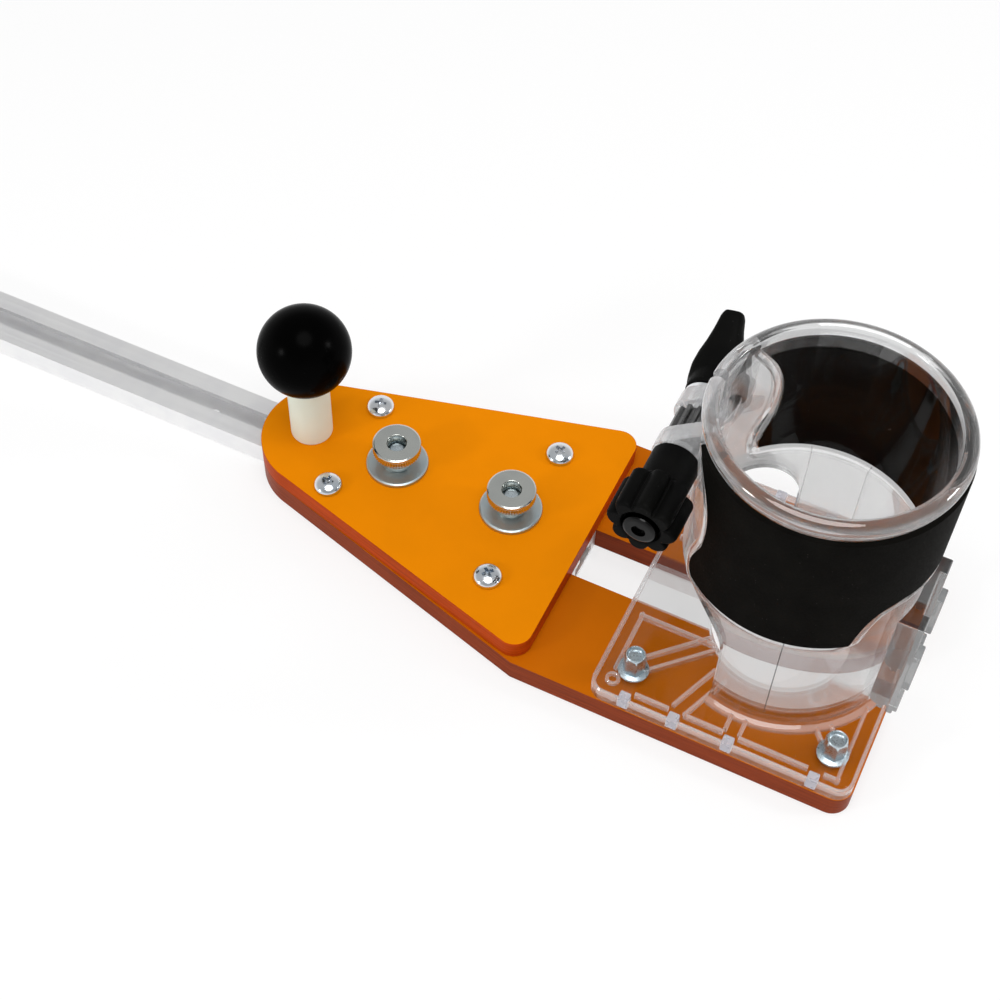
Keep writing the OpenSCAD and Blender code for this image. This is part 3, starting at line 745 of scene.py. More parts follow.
def soften(obj: Piece, width: float, segments: int = 2, angle: float = 35.0) -> Piece:
    """Rounds an object's edges.

    Args:
        obj: the object.
        width: width of the rounding.
        segments: faces across it.
        angle: edges sharper than this are rounded, in degrees.

    Returns:
        The same object.
    """
    bevel = obj.modifiers.new("round", "BEVEL")
    bevel.width = width
    bevel.segments = segments
    bevel.limit_method = "ANGLE"
    bevel.angle_limit = math.radians(angle)
    bevel.use_clamp_overlap = True
    return bake(obj)


def shade_smooth(obj: Piece, angle: float) -> None:
    """Smooths the shading, with large faces kept flat.

    Args:
        obj: the object.
        angle: edges sharper than this stay sharp, in degrees.
    """
    obj.data.shade_smooth()
    obj.data.set_sharp_from_angle(angle=math.radians(angle))
    weigh = obj.modifiers.new("weigh", "WEIGHTED_NORMAL")
    weigh.keep_sharp = True
    weigh.weight = 80
    bake(obj)


def deliver(obj: Piece, finish: Finish, body: Body, slot: Slot, *nodes: str, angle: float = 40.0) -> None:
    """Moves a finished piece into the jig's frame, dresses it and ties it to its body.

    Args:
        obj: the piece, in millimetres from the handle post.
        finish: its finish.
        body: the body that it rides on.
        slot: the record's slot of its finish; not used.
        nodes: the nodes that it stands for.
        angle: edges sharper than this stay sharp, in degrees.
    """
    shade_smooth(obj, angle)
    obj.data.transform(TO_FRAME)
    obj.data.materials.clear()
    obj.data.materials.append(finish.material())
    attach(obj, body.value)
    if nodes:
        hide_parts(*nodes)
    LOG.info("%s: %d faces on %s", obj.name, len(obj.data.polygons), body.value)


def dress_node(node: str, finish: Finish) -> None:
    """Gives a node that keeps its own shape its finish.

    Args:
        node: the node's name.
        finish: its finish.
    """
    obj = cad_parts[node]
    if obj.material_slots:
        for place in obj.material_slots:
            place.material = finish.material()
    else:
        obj.data.materials.append(finish.material())
    LOG.info("%s keeps its shape", node)


def node_copy(node: str, name: str) -> Piece:
    """Copies a node's mesh, with its flat faces merged.

    Args:
        node: the node's name.
        name: the copy's name.

    Returns:
        The copy, in millimetres from the handle post.
    """
    same_place, flat = 0.002, math.radians(0.6)
    work = bmesh.new()
    work.from_mesh(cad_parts[node].data)
    bmesh.ops.transform(work, matrix=TO_POST, verts=work.verts)
    bmesh.ops.remove_doubles(work, verts=work.verts, dist=same_place)
    bmesh.ops.dissolve_limit(work, angle_limit=flat, verts=work.verts, edges=work.edges)
    return show_work(name, work)


def arc(centre: Flat, radius: float, start: float, end: float, steps: int) -> list[Flat]:
    """Returns points along an arc between two angles in degrees."""
    turns = [math.radians(start + (end - start) * i / steps) for i in range(steps + 1)]
    return [(centre[0] + radius * math.cos(t), centre[1] + radius * math.sin(t)) for t in turns]


def rounded_rectangle(low: Flat, high: Flat, radius: float, steps: int = 6) -> list[Flat]:
    """Draws a rectangle with round corners, counter-clockwise.

    Args:
        low: its lower left corner.
        high: its upper right corner.
        radius: radius of its corners.
        steps: points along each corner.

    Returns:
        Its outline.
    """
    (x0, y0), (x1, y1) = low, high
    middle_x, middle_y = (x0 + x1) / 2, (y0 + y1) / 2
    points = []
    for x, y, turn in ((x1, y0, -90), (x1, y1, 0), (x0, y1, 90), (x0, y0, 180)):
        centre = (x - math.copysign(radius, x - middle_x), y - math.copysign(radius, y - middle_y))
        points += arc(centre, radius, turn, turn + 90, steps)
    return points


def lathe(name: str, profile: Sequence[Flat], centre: Flat = (0.0, 0.0), steps: int = 96) -> Piece:
    """Turns a closed profile of radius and height about an upright axis.

    Args:
        name: the object's name.
        profile: points of radius and height; one on the axis becomes a pole.
        centre: the axis in X and Y.
        steps: faces round the axis.

    Returns:
        The turned solid.
    """
    corners: list[Point] = []
    rings: list[list[int]] = []
    on_axis = 1e-6
    for radius, height in profile:
        count = 1 if radius < on_axis else steps
        rings.append(list(range(len(corners), len(corners) + count)))
        for i in range(count):
            turn = math.tau * i / steps
            x, y = centre[0] + radius * math.cos(turn), centre[1] + radius * math.sin(turn)
            corners.append((x, y, height))
    faces = []
    for ring, after in zip(rings, rings[1:] + rings[:1]):
        if len(ring) == 1 and len(after) == 1:
            continue
        for i in range(steps):
            j = (i + 1) % steps
            loop = [ring[i % len(ring)], ring[j % len(ring)], after[j % len(after)], after[i % len(after)]]
            faces.append(list(dict.fromkeys(loop)))
    return new_object(name, corners, faces)


def prism(name: str, outline: Sequence[Flat], low: float, high: float, lift: Callable | None = None) -> Piece:
    """Extrudes an outline between two heights.

    Args:
        name: the object's name.
        outline: its corners in order.
        low: the lower height.
        high: the upper height.
        lift: turns the outline's two places and a height into a point; plain X, Y, Z where it is None.

    Returns:
        The extruded solid.
    """
    lift = lift or (lambda u, v, w: (u, v, w))
    count = len(outline)
    corners = [lift(u, v, w) for w in (low, high) for u, v in outline]
    sides = [(i, (i + 1) % count, count + (i + 1) % count, count + i) for i in range(count)]
    return new_object(name, corners, sides + [range(count - 1, -1, -1), range(count, 2 * count)])


def block(name: str, low: Point, high: Point) -> Piece:
    """Returns a box between two corners."""
    outline = [(low[0], low[1]), (high[0], low[1]), (high[0], high[1]), (low[0], high[1])]
    return prism(name, outline, low[2], high[2])


def ring_loft(name: str, rings: Sequence[Sequence[Point]], closed: bool) -> Piece:
    """Skins rings of equal count.

    Args:
        name: the object's name.
        rings: the rings in order, each a loop of points.
        closed: True joins the last ring to the first, False caps both ends.

    Returns:
        The skinned solid.
    """
    count = len(rings[0])
    corners = [point for ring in rings for point in ring]
    spans = len(rings) if closed else len(rings) - 1
    faces = []
    for k in range(spans):
        a, b = k * count, ((k + 1) % len(rings)) * count
        faces += [(a + i, a + (i + 1) % count, b + (i + 1) % count, b + i) for i in range(count)]
    if not closed:
        faces += [range(count - 1, -1, -1), range(len(corners) - count, len(corners))]
    return new_object(name, corners, faces)


def along_y(u: float, v: float, w: float) -> Point:
    """Lifts an outline in X and Z along Y."""
    return (u, w, v)


def rod_y(name: str, x: float, z: float, radius: float, y0: float, y1: float, steps: int = 64) -> Piece:
    """Returns a cylinder along Y."""
    outline = arc((x, z), radius, 0, 360 * (steps - 1) / steps, steps - 1)
    return prism(name, outline, y0, y1, along_y)


def spline(points: Sequence[Flat], place: float) -> float:
    """Reads a smooth curve through points.

    Args:
        points: places and values, in rising order of place.
        place: where to read it; its ends hold beyond the first and last points.

    Returns:
        The value there.
    """
    last = len(points) - 1
    k = next((i for i in range(last) if place <= points[i + 1][0]), last - 1)
    before, (a, start), (b, end), after = (points[min(max(i, 0), last)] for i in range(k - 1, k + 3))
    slope_a = (end - before[1]) / (b - before[0])
    slope_b = (after[1] - start) / (after[0] - a)
    span = b - a
    t = min(max((place - a) / span, 0.0), 1.0)
    return (start * (1 + 2 * t) * (1 - t) ** 2 + end * t * t * (3 - 2 * t)
            + span * (slope_a * t * (1 - t) ** 2 - slope_b * t * t * (1 - t)))


class Recipe:
    """A Geometry Nodes tree with named inputs."""

    def __init__(self, name: str, inputs: dict[str, str]) -> None:
        """Makes the tree with its inputs.

        Args:
            name: the tree's name.
            inputs: socket type of each input, by name, after the geometry that it starts from.
        """
        self.tree = bpy.data.node_groups.new(name, "GeometryNodeTree")
        sockets = self.tree.interface
        sockets.new_socket(name="Geometry", in_out="INPUT", socket_type="NodeSocketGeometry")
        self.places = {
            label: sockets.new_socket(name=label, in_out="INPUT", socket_type="NodeSocket" + kind).identifier
            for label, kind in {**inputs, "Finish": "Material"}.items()
        }
        sockets.new_socket(name="Geometry", in_out="OUTPUT", socket_type="NodeSocketGeometry")
        self.graph = Graph(self.tree)
        self.start = self.graph.add("NodeGroupInput").outputs

    def moved(self, geometry: Socket, way: Socket) -> Socket:
        """Moves geometry by a vector, and returns its socket."""
        inputs = {"Geometry": geometry, "Translation": way}
        return self.graph.add("GeometryNodeTransform", inputs).outputs[0]

    def turned_copies(self, points: Socket, piece: Socket, step: Socket) -> Socket:
        """Sets a copy on each point, each turned a step further.

        Args:
            points: the points.
            piece: what is copied.
            step: how much further each copy is turned, in radians.

        Returns:
            The socket of the copies.
        """
        order = self.graph.add("GeometryNodeInputIndex").outputs[0]
        turn = self.graph.upright(self.graph.math("MULTIPLY", order, step))
        inputs = {"Points": points, "Instance": piece, "Rotation": turn}
        return self.graph.add("GeometryNodeInstanceOnPoints", inputs).outputs[0]

    def swept(self, line: Socket, section: Socket) -> Socket:
        """Sweeps a section along a line with closed ends, and returns the socket of the mesh."""
        inputs = {"Curve": line, "Profile Curve": section, "Fill Caps": True}
        return self.graph.add("GeometryNodeCurveToMesh", inputs).outputs[0]

    def close(self, *parts: Socket) -> None:
        """Ends the tree with real geometry that carries its finish.

        Args:
            parts: the geometry that the tree puts out, joined.
        """
        both = self.graph.add("GeometryNodeJoinGeometry")
        for part in parts:
            self.graph.link(part, both.inputs[0])
        real = self.graph.add("GeometryNodeRealizeInstances", {0: both.outputs[0]}).outputs[0]
        inputs = {"Geometry": real, "Material": self.start["Finish"]}
        painted = self.graph.add("GeometryNodeSetMaterial", inputs).outputs[0]
        self.graph.link(painted, self.graph.add("NodeGroupOutput").inputs[0])

    def make(self, start: Piece, finish: Finish, **values: object) -> Piece:
        """Runs the tree on an object and returns it as plain mesh.

        Args:
            start: the object that gives the tree its points or edges.
            finish: the finish of what it makes.
            values: the other inputs, by name.

        Returns:
            The same object with its new mesh.
        """
        modifier = start.modifiers.new(self.tree.name, "NODES")
        modifier.node_group = self.tree
        modifier[self.places["Finish"]] = finish.material()
        for label, value in values.items():
            modifier[self.places[label]] = value
        return bake(start)


def copies_recipe() -> Recipe:
    """Builds the tree that sets a copy of one piece on each point, each turned a step further.

    Returns:
        The tree.
    """
    recipe = Recipe("copies_on_points", {"Piece": "Object", "Turn": "Float"})
    start = recipe.start
    piece = recipe.graph.add("GeometryNodeObjectInfo", {"Object": start["Piece"], "As Instance": True})
    recipe.close(recipe.turned_copies(start["Geometry"], piece.outputs["Geometry"], start["Turn"]))
    return recipe


def knurl_recipe() -> Recipe:
    """Builds the tree that sets upright ridges round a ring.

    Returns:
        The tree.
    """
    recipe = Recipe("ridges_round_a_ring", {
        "Count": "Int", "Radius": "Float", "Height": "Float", "Ridge": "Float", "Middle": "Vector"})
    graph, start = recipe.graph, recipe.start
    ring = graph.add("GeometryNodeMeshCircle", {"Vertices": start["Count"], "Radius": start["Radius"]})
    ridge = graph.add("GeometryNodeMeshCone", {
        "Vertices": 4, "Radius Top": start["Ridge"], "Radius Bottom": start["Ridge"],
        "Depth": start["Height"]})
    sunk = graph.upright(graph.math("MULTIPLY", start["Height"], -0.5))
    step = graph.math("DIVIDE", math.tau, start["Count"])
    places = recipe.moved(ring.outputs[0], start["Middle"])
    copies = recipe.turned_copies(places, recipe.moved(ridge.outputs[0], sunk), step)
    recipe.close(copies, start["Geometry"])
    return recipe


def thread_recipe() -> Recipe:
    """Builds the tree that winds a screw thread round an upright axis.

    Returns:
        The tree.
    """
    recipe = Recipe("screw_thread", {
        "Radius": "Float", "Pitch": "Float", "Turns": "Float", "Depth": "Float", "Foot": "Vector"})
    graph, start = recipe.graph, recipe.start
    points_a_turn, crest_sides = 28, 5
    coil = graph.add("GeometryNodeCurveSpiral", {
        "Resolution": points_a_turn, "Rotations": start["Turns"], "Start Radius": start["Radius"],
        "End Radius": start["Radius"], "Height": graph.math("MULTIPLY", start["Pitch"], start["Turns"])})
    crest = graph.add("GeometryNodeCurvePrimitiveCircle", {
        "Resolution": crest_sides, "Radius": start["Depth"]})
    wound = recipe.swept(coil.outputs[0], crest.outputs[0])
    recipe.close(recipe.moved(wound, start["Foot"]), start["Geometry"])
    return recipe


def rib_recipe() -> Recipe:
    """Builds the tree that runs a rib with a rounded top along each line of a plan.

    Returns:
        The tree.
    """
    recipe = Recipe("ribs_along_a_plan", {"Width": "Float", "Height": "Float", "Rounding": "Float"})
    graph, start = recipe.graph, recipe.start
    line = graph.add("GeometryNodeMeshToCurve", {0: start["Geometry"]})
    upright = graph.add("GeometryNodeSetCurveNormal", {"Curve": line.outputs[0]}, mode="Z_UP")
    shape = graph.add("GeometryNodeCurvePrimitiveQuadrilateral", {
        "Width": start["Width"], "Height": start["Height"]})
    soft = graph.add("GeometryNodeFilletCurve", {"Curve": shape.outputs[0], "Radius": start["Rounding"]})
    recipe.close(recipe.swept(upright.outputs[0], soft.outputs[0]))
    return recipe


def bead_recipe() -> Recipe:
    """Builds the tree that runs a round bead along a line.

    Returns:
        The tree.
    """
    recipe = Recipe("bead_along_a_line", {"Radius": "Float", "Sides": "Int"})
    graph, start = recipe.graph, recipe.start
    line = graph.add("GeometryNodeMeshToCurve", {0: start["Geometry"]})
    shape = graph.add("GeometryNodeCurvePrimitiveCircle", {
        "Resolution": start["Sides"], "Radius": start["Radius"]})
    recipe.close(recipe.swept(line.outputs[0], shape.outputs[0]))
    return recipe


COPIES = copies_recipe()
KNURL = knurl_recipe()
THREAD = thread_recipe()
RIBS = rib_recipe()
BEAD = bead_recipe()


def lines_object(name: str, lines: Sequence[Sequence[Point]], closed: bool = False) -> Piece:
    """Makes loose edges for ribs or beads to run along.

    Args:
        name: the object's name.
        lines: the points of each line in order.
        closed: True joins each line's end to its start.

    Returns:
        The object that holds them.
    """
    corners: list[Point] = []
    edges: list[tuple[int, int]] = []
    for line in lines:
        first = len(corners)
        corners += line
        edges += [(i, i + 1) for i in range(first, len(corners) - 1)]
        if closed:
            edges.append((len(corners) - 1, first))
    return loose_object(name, corners, edges)


def set_copies(name: str, piece: Piece, points: Sequence[Point], finish: Finish, turn: float = 0.0) -> Piece:
    """Sets a copy of a piece on each point through the copies tree.

    Args:
        name: name of the object that holds them all.
        piece: the piece to copy, which is removed.
        points: where the copies sit.
        finish: their finish.
        turn: how much further each copy is turned, in radians.

    Returns:
        The object with all copies.
    """
    held = COPIES.make(loose_object(name, points), finish, Piece=piece, Turn=turn)
    discard(piece)
    return held


@dataclass
class Plates:
    """The orange top plate and the two side plates under it."""

    rounding: float = 0.45

    def build(self) -> None:
        """Makes each plate from its solid, with its edges broken."""
        # The side plates take the darker copy of the orange sheet, as painted shade.
        finishes = {"top_plate": TOP_SHEET, "near_side_plate": SHADED_FORK_SHEET, "far_side_plate": SHADED_FORK_SHEET}
        for node, finish in finishes.items():
            plate = soften(node_copy(node, "orange_" + node), self.rounding, 3)
            deliver(plate, finish, Body.JIG, Slot.ORANGE, node, angle=30)


@dataclass
class PlateScrews:
    """The four pan-head screws that hold the plates together."""

    top_z: float = 15.5
    head_r: float = 4.7
    head_h: float = 3.2
    edge_h: float = 0.9
    lip: float = 0.25
    shank_r: float = 2.5
    shank_l: float = 15.2
    chamfer: float = 0.4
    cross_w: float = 1.25
    cross_l: float = 4.9
    cross_d: float = 1.9
    cross_taper: float = 0.55
    places: tuple[Flat, ...] = ((16.3, -18.3), (78.8, -27.3), (16.3, 18.3), (78.8, 27.3))

    def one(self) -> Piece:
        """Makes one screw about the origin: a domed head, a cross recess and a shank.

        Returns:
            The screw.
        """
        rise = self.head_h - self.edge_h
        turns = [math.radians(6 * i) for i in range(15)]
        dome = [(self.head_r * math.cos(t), self.edge_h + rise * math.sin(t)) for t in turns]
        shank, tip = self.shank_r, -self.shank_l
        screw = lathe("pan_screw", [
            (0.0, tip), (shank - self.chamfer, tip), (shank, tip + self.chamfer), (shank, 0.0),
            (self.head_r - self.lip, 0.0), (self.head_r, self.lip), *dome, (0.0, self.head_h),
        ], steps=48)
        low, high = self.head_h - self.cross_d, self.head_h + 1
        corners = ((-1, -1), (1, -1), (1, 1), (-1, 1))
        along, across = self.cross_l / 2, self.cross_w / 2
        for x, y, taper_y in ((along, across, 1.0), (across, along, self.cross_taper)):
            rings = [
                [(sx * x * share_x, sy * y * share_y, z) for sx, sy in corners]
                for share_x, share_y, z in ((self.cross_taper, taper_y, low), (1.0, 1.0, high))
            ]
            combine(screw, ring_loft("recess", rings, False), Cut.DIFFERENCE)
        return screw

    def build(self) -> None:
        """Sets the four screws in place."""
        points = [(x, y, self.top_z) for x, y in self.places]
        screws = set_copies("pan_screws", self.one(), points, ZINC, turn=0.9)
        deliver(screws, ZINC, Body.JIG, Slot.ZINC, "plate_screws", angle=32)


@dataclass
class Track:
    """The T-track bar."""

    rounding: float = 0.3

    def build(self) -> None:
        """Makes the bar from its solid, with its edges broken."""
        bar = soften(node_copy("t_track", "track_bar"), self.rounding, 2)
        deliver(bar, ALUMINIUM, Body.TRACK, Slot.ALUMINIUM, "t_track", angle=30)


@dataclass
class TrackClamps:
    """The two T-bolts with their washers and thumb nuts."""

    places: Flat = (32.3, 73.8)
    top_z: float = 15.5
    washer_r: float = 10.3
    washer_t: float = 1.5
    nut_z: float = 17.1
    collar_r: float = 5.0
    collar_h: float = 5.2
    head_r: float = 8.0
    head_h: float = 4.3
    bore_r: float = 3.05
    bolt_r: float = 3.0
    bolt_foot: float = 4.0
    bolt_top: float = 23.6
    bolt_turns: float = 14.0
    head_w: float = 10.0
    head_z: Flat = (2.25, 6.05)
    ridges: int = 54
    ridge_r: float = 0.56

    def washers(self) -> None:
        """Makes both washers, slightly domed by the punch."""
        r, t, bore = self.washer_r, self.washer_t, self.bore_r + 0.2
        profile = [
            (bore, 0.15), (bore + 0.15, 0.0), (r - 0.15, 0.0), (r, 0.2), (r, t - 0.5), (r - 0.12, t - 0.25),
            (r - 0.45, t - 0.05), (r - 0.8, t), (bore + 0.5, t), (bore, t - 0.35),
        ]
        points = [(x, 0.0, self.top_z) for x in self.places]
        made = set_copies("wide_washers", lathe("washer", profile, steps=96), points, WASHER_ZINC, turn=0.7)
        deliver(made, WASHER_ZINC, Body.JIG, Slot.ZINC, "clamp_washers", angle=30)

    def bolts(self) -> None:
        """Makes both T-bolts: a square head, a shank and its thread."""
        half, core, pitch = self.head_w / 2, self.bolt_r - 0.35, 1.0
        foot, top = self.bolt_foot, self.bolt_top
        head = soften(block("head", (-half, -half, self.head_z[0]), (half, half, self.head_z[1])), 0.5)
        profile = [(0.0, foot), (core, foot), (core, top - 0.6), (self.bolt_r - 0.9, top), (0.0, top)]
        shank = lathe("shank", profile, steps=40)
        THREAD.make(shank, BOLT_ZINC, Radius=self.bolt_r - 0.42, Pitch=pitch, Turns=self.bolt_turns,
                    Depth=0.4, Foot=(0.0, 0.0, top - 1.0 - pitch * self.bolt_turns))
        points = [(x, 0.0, 0.0) for x in self.places]
        made = set_copies("t_slot_bolts", merge("bolt", [head, shank]), points, BOLT_ZINC)
        deliver(made, BOLT_ZINC, Body.JIG, Slot.ZINC, "t_bolts", angle=35)

    def nut(self, name: str, x: float, finish: Finish) -> Piece:
        """Makes one thumb nut: turned collar, knurled band and a flat face with a bright rim.

        Args:
            name: the nut's name.
            x: its place along the track.
            finish: its finish.

        Returns:
            The nut with its knurl and its thread.
        """
        c, h, r = self.collar_r, self.collar_h, self.head_r
        top, inner, band = h + self.head_h, self.bore_r + 0.02, r - 0.8
        profile = [
            (inner, 0.0), (c - 0.3, 0.0), (c, 0.3), (c, 1.9), (c - 0.35, 2.15), (c - 0.35, 2.6), (c, 2.85),
            (c, h - 0.5), (c + 0.4, h - 0.1), (r - 1.3, h), (r - 0.95, h + 0.25), (band, h + 0.5),
            (band, top - 1.35), (r - 0.1, top - 1.15), (r, top - 0.9), (r, top - 0.55),
            (r - 0.12, top - 0.22), (r - 0.45, top - 0.03), (band, top), (inner + 0.45, top),
            (inner + 0.25, top - 0.1), (inner, top - 0.5),
        ]
        nut = lathe(name, [(radius, self.nut_z + z) for radius, z in profile], (x, 0.0), 108)
        low, high = self.nut_z + h + 0.7, self.nut_z + top - 1.3
        KNURL.make(nut, finish, Count=self.ridges, Radius=r - 0.62, Height=high - low, Ridge=self.ridge_r,
                   Middle=(x, 0.0, (low + high) / 2))
        return THREAD.make(nut, finish, Radius=inner + 0.08, Pitch=0.8, Turns=2.6, Depth=0.2,
                           Foot=(x, 0.0, self.nut_z + top - 2.9))

    def build(self) -> None:
        """Makes the washers, the bolts and the two nuts."""
        self.washers()
        self.bolts()
        for side, x, body in zip(("left", "right"), self.places, (Body.LEFT_NUT, Body.RIGHT_NUT)):
            finish = MetalFinish(
                f"turned_nickel_{side}", (0.6, 0.62, 0.59), rough=(0.12, 0.24), lay=Lay.TURNED,
                centre=(POST_X + x * MM, 0.0), depth=0.000006, tint=(0.54, 0.56, 0.54))
            nut = self.nut(f"knurled_{side}_nut", x, finish)
            deliver(nut, finish, body, Slot.NICKEL, f"{side}_thumb_nut", angle=32)


@dataclass
class Handle:
    """The post, the ball and what holds them."""

    post_r: float = 7.0
    low: float = 15.5
    high: float = 41.5
    bore_r: float = 3.25
    ball_r: float = 15.15
    ball_z: float = 55.04
    flat_z: float = 41.6
    insert_r: float = 5.0
    insert_h: float = 14.0

    def build(self) -> None:
        """Makes the post and the ball, and dresses the screw and the insert."""
        r, low, high, bore = self.post_r, self.low, self.high, self.bore_r
        post = [
            (bore, low), (r - 0.5, low), (r - 0.12, low + 0.15), (r, low + 0.55), (r, low + 9), (r, high - 9),
            (r, high - 0.5), (r - 0.15, high - 0.12), (r - 0.5, high), (bore, high),
        ]
        deliver(lathe("nylon_post", post, steps=96), NYLON, Body.JIG, Slot.NYLON, "handle_post")
        insert, flat, deep = self.insert_r, self.flat_z, self.flat_z + self.insert_h
        start = math.degrees(math.asin((flat - self.ball_z) / self.ball_r))
        curve = arc((0.0, self.ball_z), self.ball_r, start + 2.5, 90, 64)
        ball = [
            (insert, flat), (r - 0.5, flat), (r + 0.05, flat + 0.12), *curve[:-1],
            (0.0, self.ball_z + self.ball_r), (0.0, deep), (insert, deep),
        ]
        deliver(lathe("black_knob_ball", ball, steps=128), BALL_BLACK, Body.BALL, Slot.BALL, "handle_ball")
        dress_node("handle_screw", ZINC)
        dress_node("ball_insert", BRASS)


@dataclass
class GripEdge:
    """The edge of the rubber sleeve, as angles round the tube and heights."""

    top_z: float = 109.0
    step_z: float = 75.6
    low_z: float = 59.2
    far_shift: float = 16.0
    opening: tuple[Flat, ...] = (
        (57.0, 52.0), (59.2, 46.5), (61.5, 44.0), (64.0, 43.4), (67.0, 44.2), (72.0, 47.2), (76.0, 49.6),
        (84.0, 51.0), (90.0, 50.2), (94.0, 48.4), (98.0, 45.4), (104.0, 38.6), (109.2, 32.5))
    step: tuple[Flat, ...] = (
        (58.0, 52.4), (61.2, 51.0), (64.9, 49.4), (68.2, 47.4), (72.0, 43.8), (74.4, 39.0), (75.6, 31.0))

    def limit(self, z: float) -> float:
        """Returns the sleeve's angle from +X at its open side, in degrees, at a height."""
        return 180.0 - spline(self.opening, z)

    def rise(self, z: float, side: int) -> float:
        """Returns the angle from +X of the step over the guide holder, near (-1) or far (1), at a height."""
        return spline(self.step, z) - (self.far_shift if side > 0 else 0.0)


def around(x: float, radius: float, angle: float, z: float) -> Point:
    """Returns the point at a distance and an angle in degrees from an upright axis at X, at a height."""
    turn = math.radians(angle)
    return (x + radius * math.cos(turn), radius * math.sin(turn), z)


def steps_between(start: float, end: float, count: int) -> list[float]:
    """Returns evenly spaced values from a start to an end, both among them."""
    return [start + (end - start) * i / count for i in range(count + 1)]


@dataclass
class RubberGrip:
    """The black sleeve on the tube."""

    tube_x: float = 168.0
    inner_r: float = 35.56
    press: float = 0.3
    outer_r: float = 37.3
    edge: GripEdge = field(default_factory=GripEdge)
    side_columns: int = 44
    middle_columns: int = 26
    upper_rows: int = 28
    lower_rows: int = 20
    rounding: float = 0.5

    def press_on(self, sleeve: Piece) -> None:
        """Presses the sleeve's inside against the tube on its far half; on the near half it lies looser.

        Args:
            sleeve: the sleeve.
        """
        start, full = 10.0, 30.0
        inside = self.inner_r + 0.2
        for corner in sleeve.data.vertices:
            out = Vector((corner.co.x - self.tube_x, corner.co.y))
            if out.length < inside:
                share = (math.degrees(math.atan2(out.y, out.x)) - start) / (full - start)
                out *= 1 - self.press * min(max(share, 0.0), 1.0) / out.length
                corner.co.xy = out + Vector((self.tube_x, 0.0))

    def outside(self) -> Piece:
        """Skins the outer face of the sleeve: an upper band and two lower flaps.

        Returns:
            The face.
        """
        edge = self.edge
        work = bmesh.new()

        def row(angles: Iterable[float], z: float) -> list[bmesh.types.BMVert]:
            """Adds one row of points at a height, at angles round the tube."""
            return [work.verts.new(around(self.tube_x, self.outer_r, angle, z)) for angle in angles]

        def join(first: Sequence, second: Sequence) -> None:
            """Skins two rows."""
            for i in range(len(first) - 1):
                work.faces.new((first[i], first[i + 1], second[i + 1], second[i]))

        widest = edge.limit(edge.step_z)
        near, far = edge.rise(edge.step_z, -1), edge.rise(edge.step_z, 1)
        base = steps_between(-widest, -near, self.side_columns)
        base += steps_between(-near, far, self.middle_columns)[1:-1]
        base += steps_between(far, widest, self.side_columns)
        levels = steps_between(edge.step_z, edge.top_z, self.upper_rows)
        rows = [row((angle * edge.limit(z) / widest for angle in base), z) for z in levels]
        for low, high in zip(rows, rows[1:]):
            join(low, high)
        for side in (-1, 1):
            above = rows[0][:self.side_columns + 1] if side < 0 else rows[0][:-self.side_columns - 2:-1]
            for z in steps_between(edge.step_z, edge.low_z, self.lower_rows)[1:]:
                angles = steps_between(edge.limit(z), edge.rise(z, side), self.side_columns)
                below = row((side * angle for angle in angles), z)
                join(above, below)
                above = below
        bmesh.ops.recalc_face_normals(work, faces=work.faces)
        return show_work("rubber_sleeve", work)

    def build(self) -> None:
        """Makes the sleeve with its thickness and its rounded rims."""
        sleeve = self.outside()
        middle = Vector((self.tube_x, 0.0, 0.0))
        face = sleeve.data.polygons[0]
        outward = (face.center - middle).to_2d().dot(face.normal.to_2d()) > 0
        wall = sleeve.modifiers.new("wall", "SOLIDIFY")
        wall.thickness = self.outer_r - self.inner_r
        wall.offset = -1.0 if outward else 1.0
        bake(sleeve)
        soften(sleeve, self.rounding, 3, 50)
        self.press_on(sleeve)
        deliver(sleeve, RUBBER, Body.JIG, Slot.RUBBER, "rubber_grip")


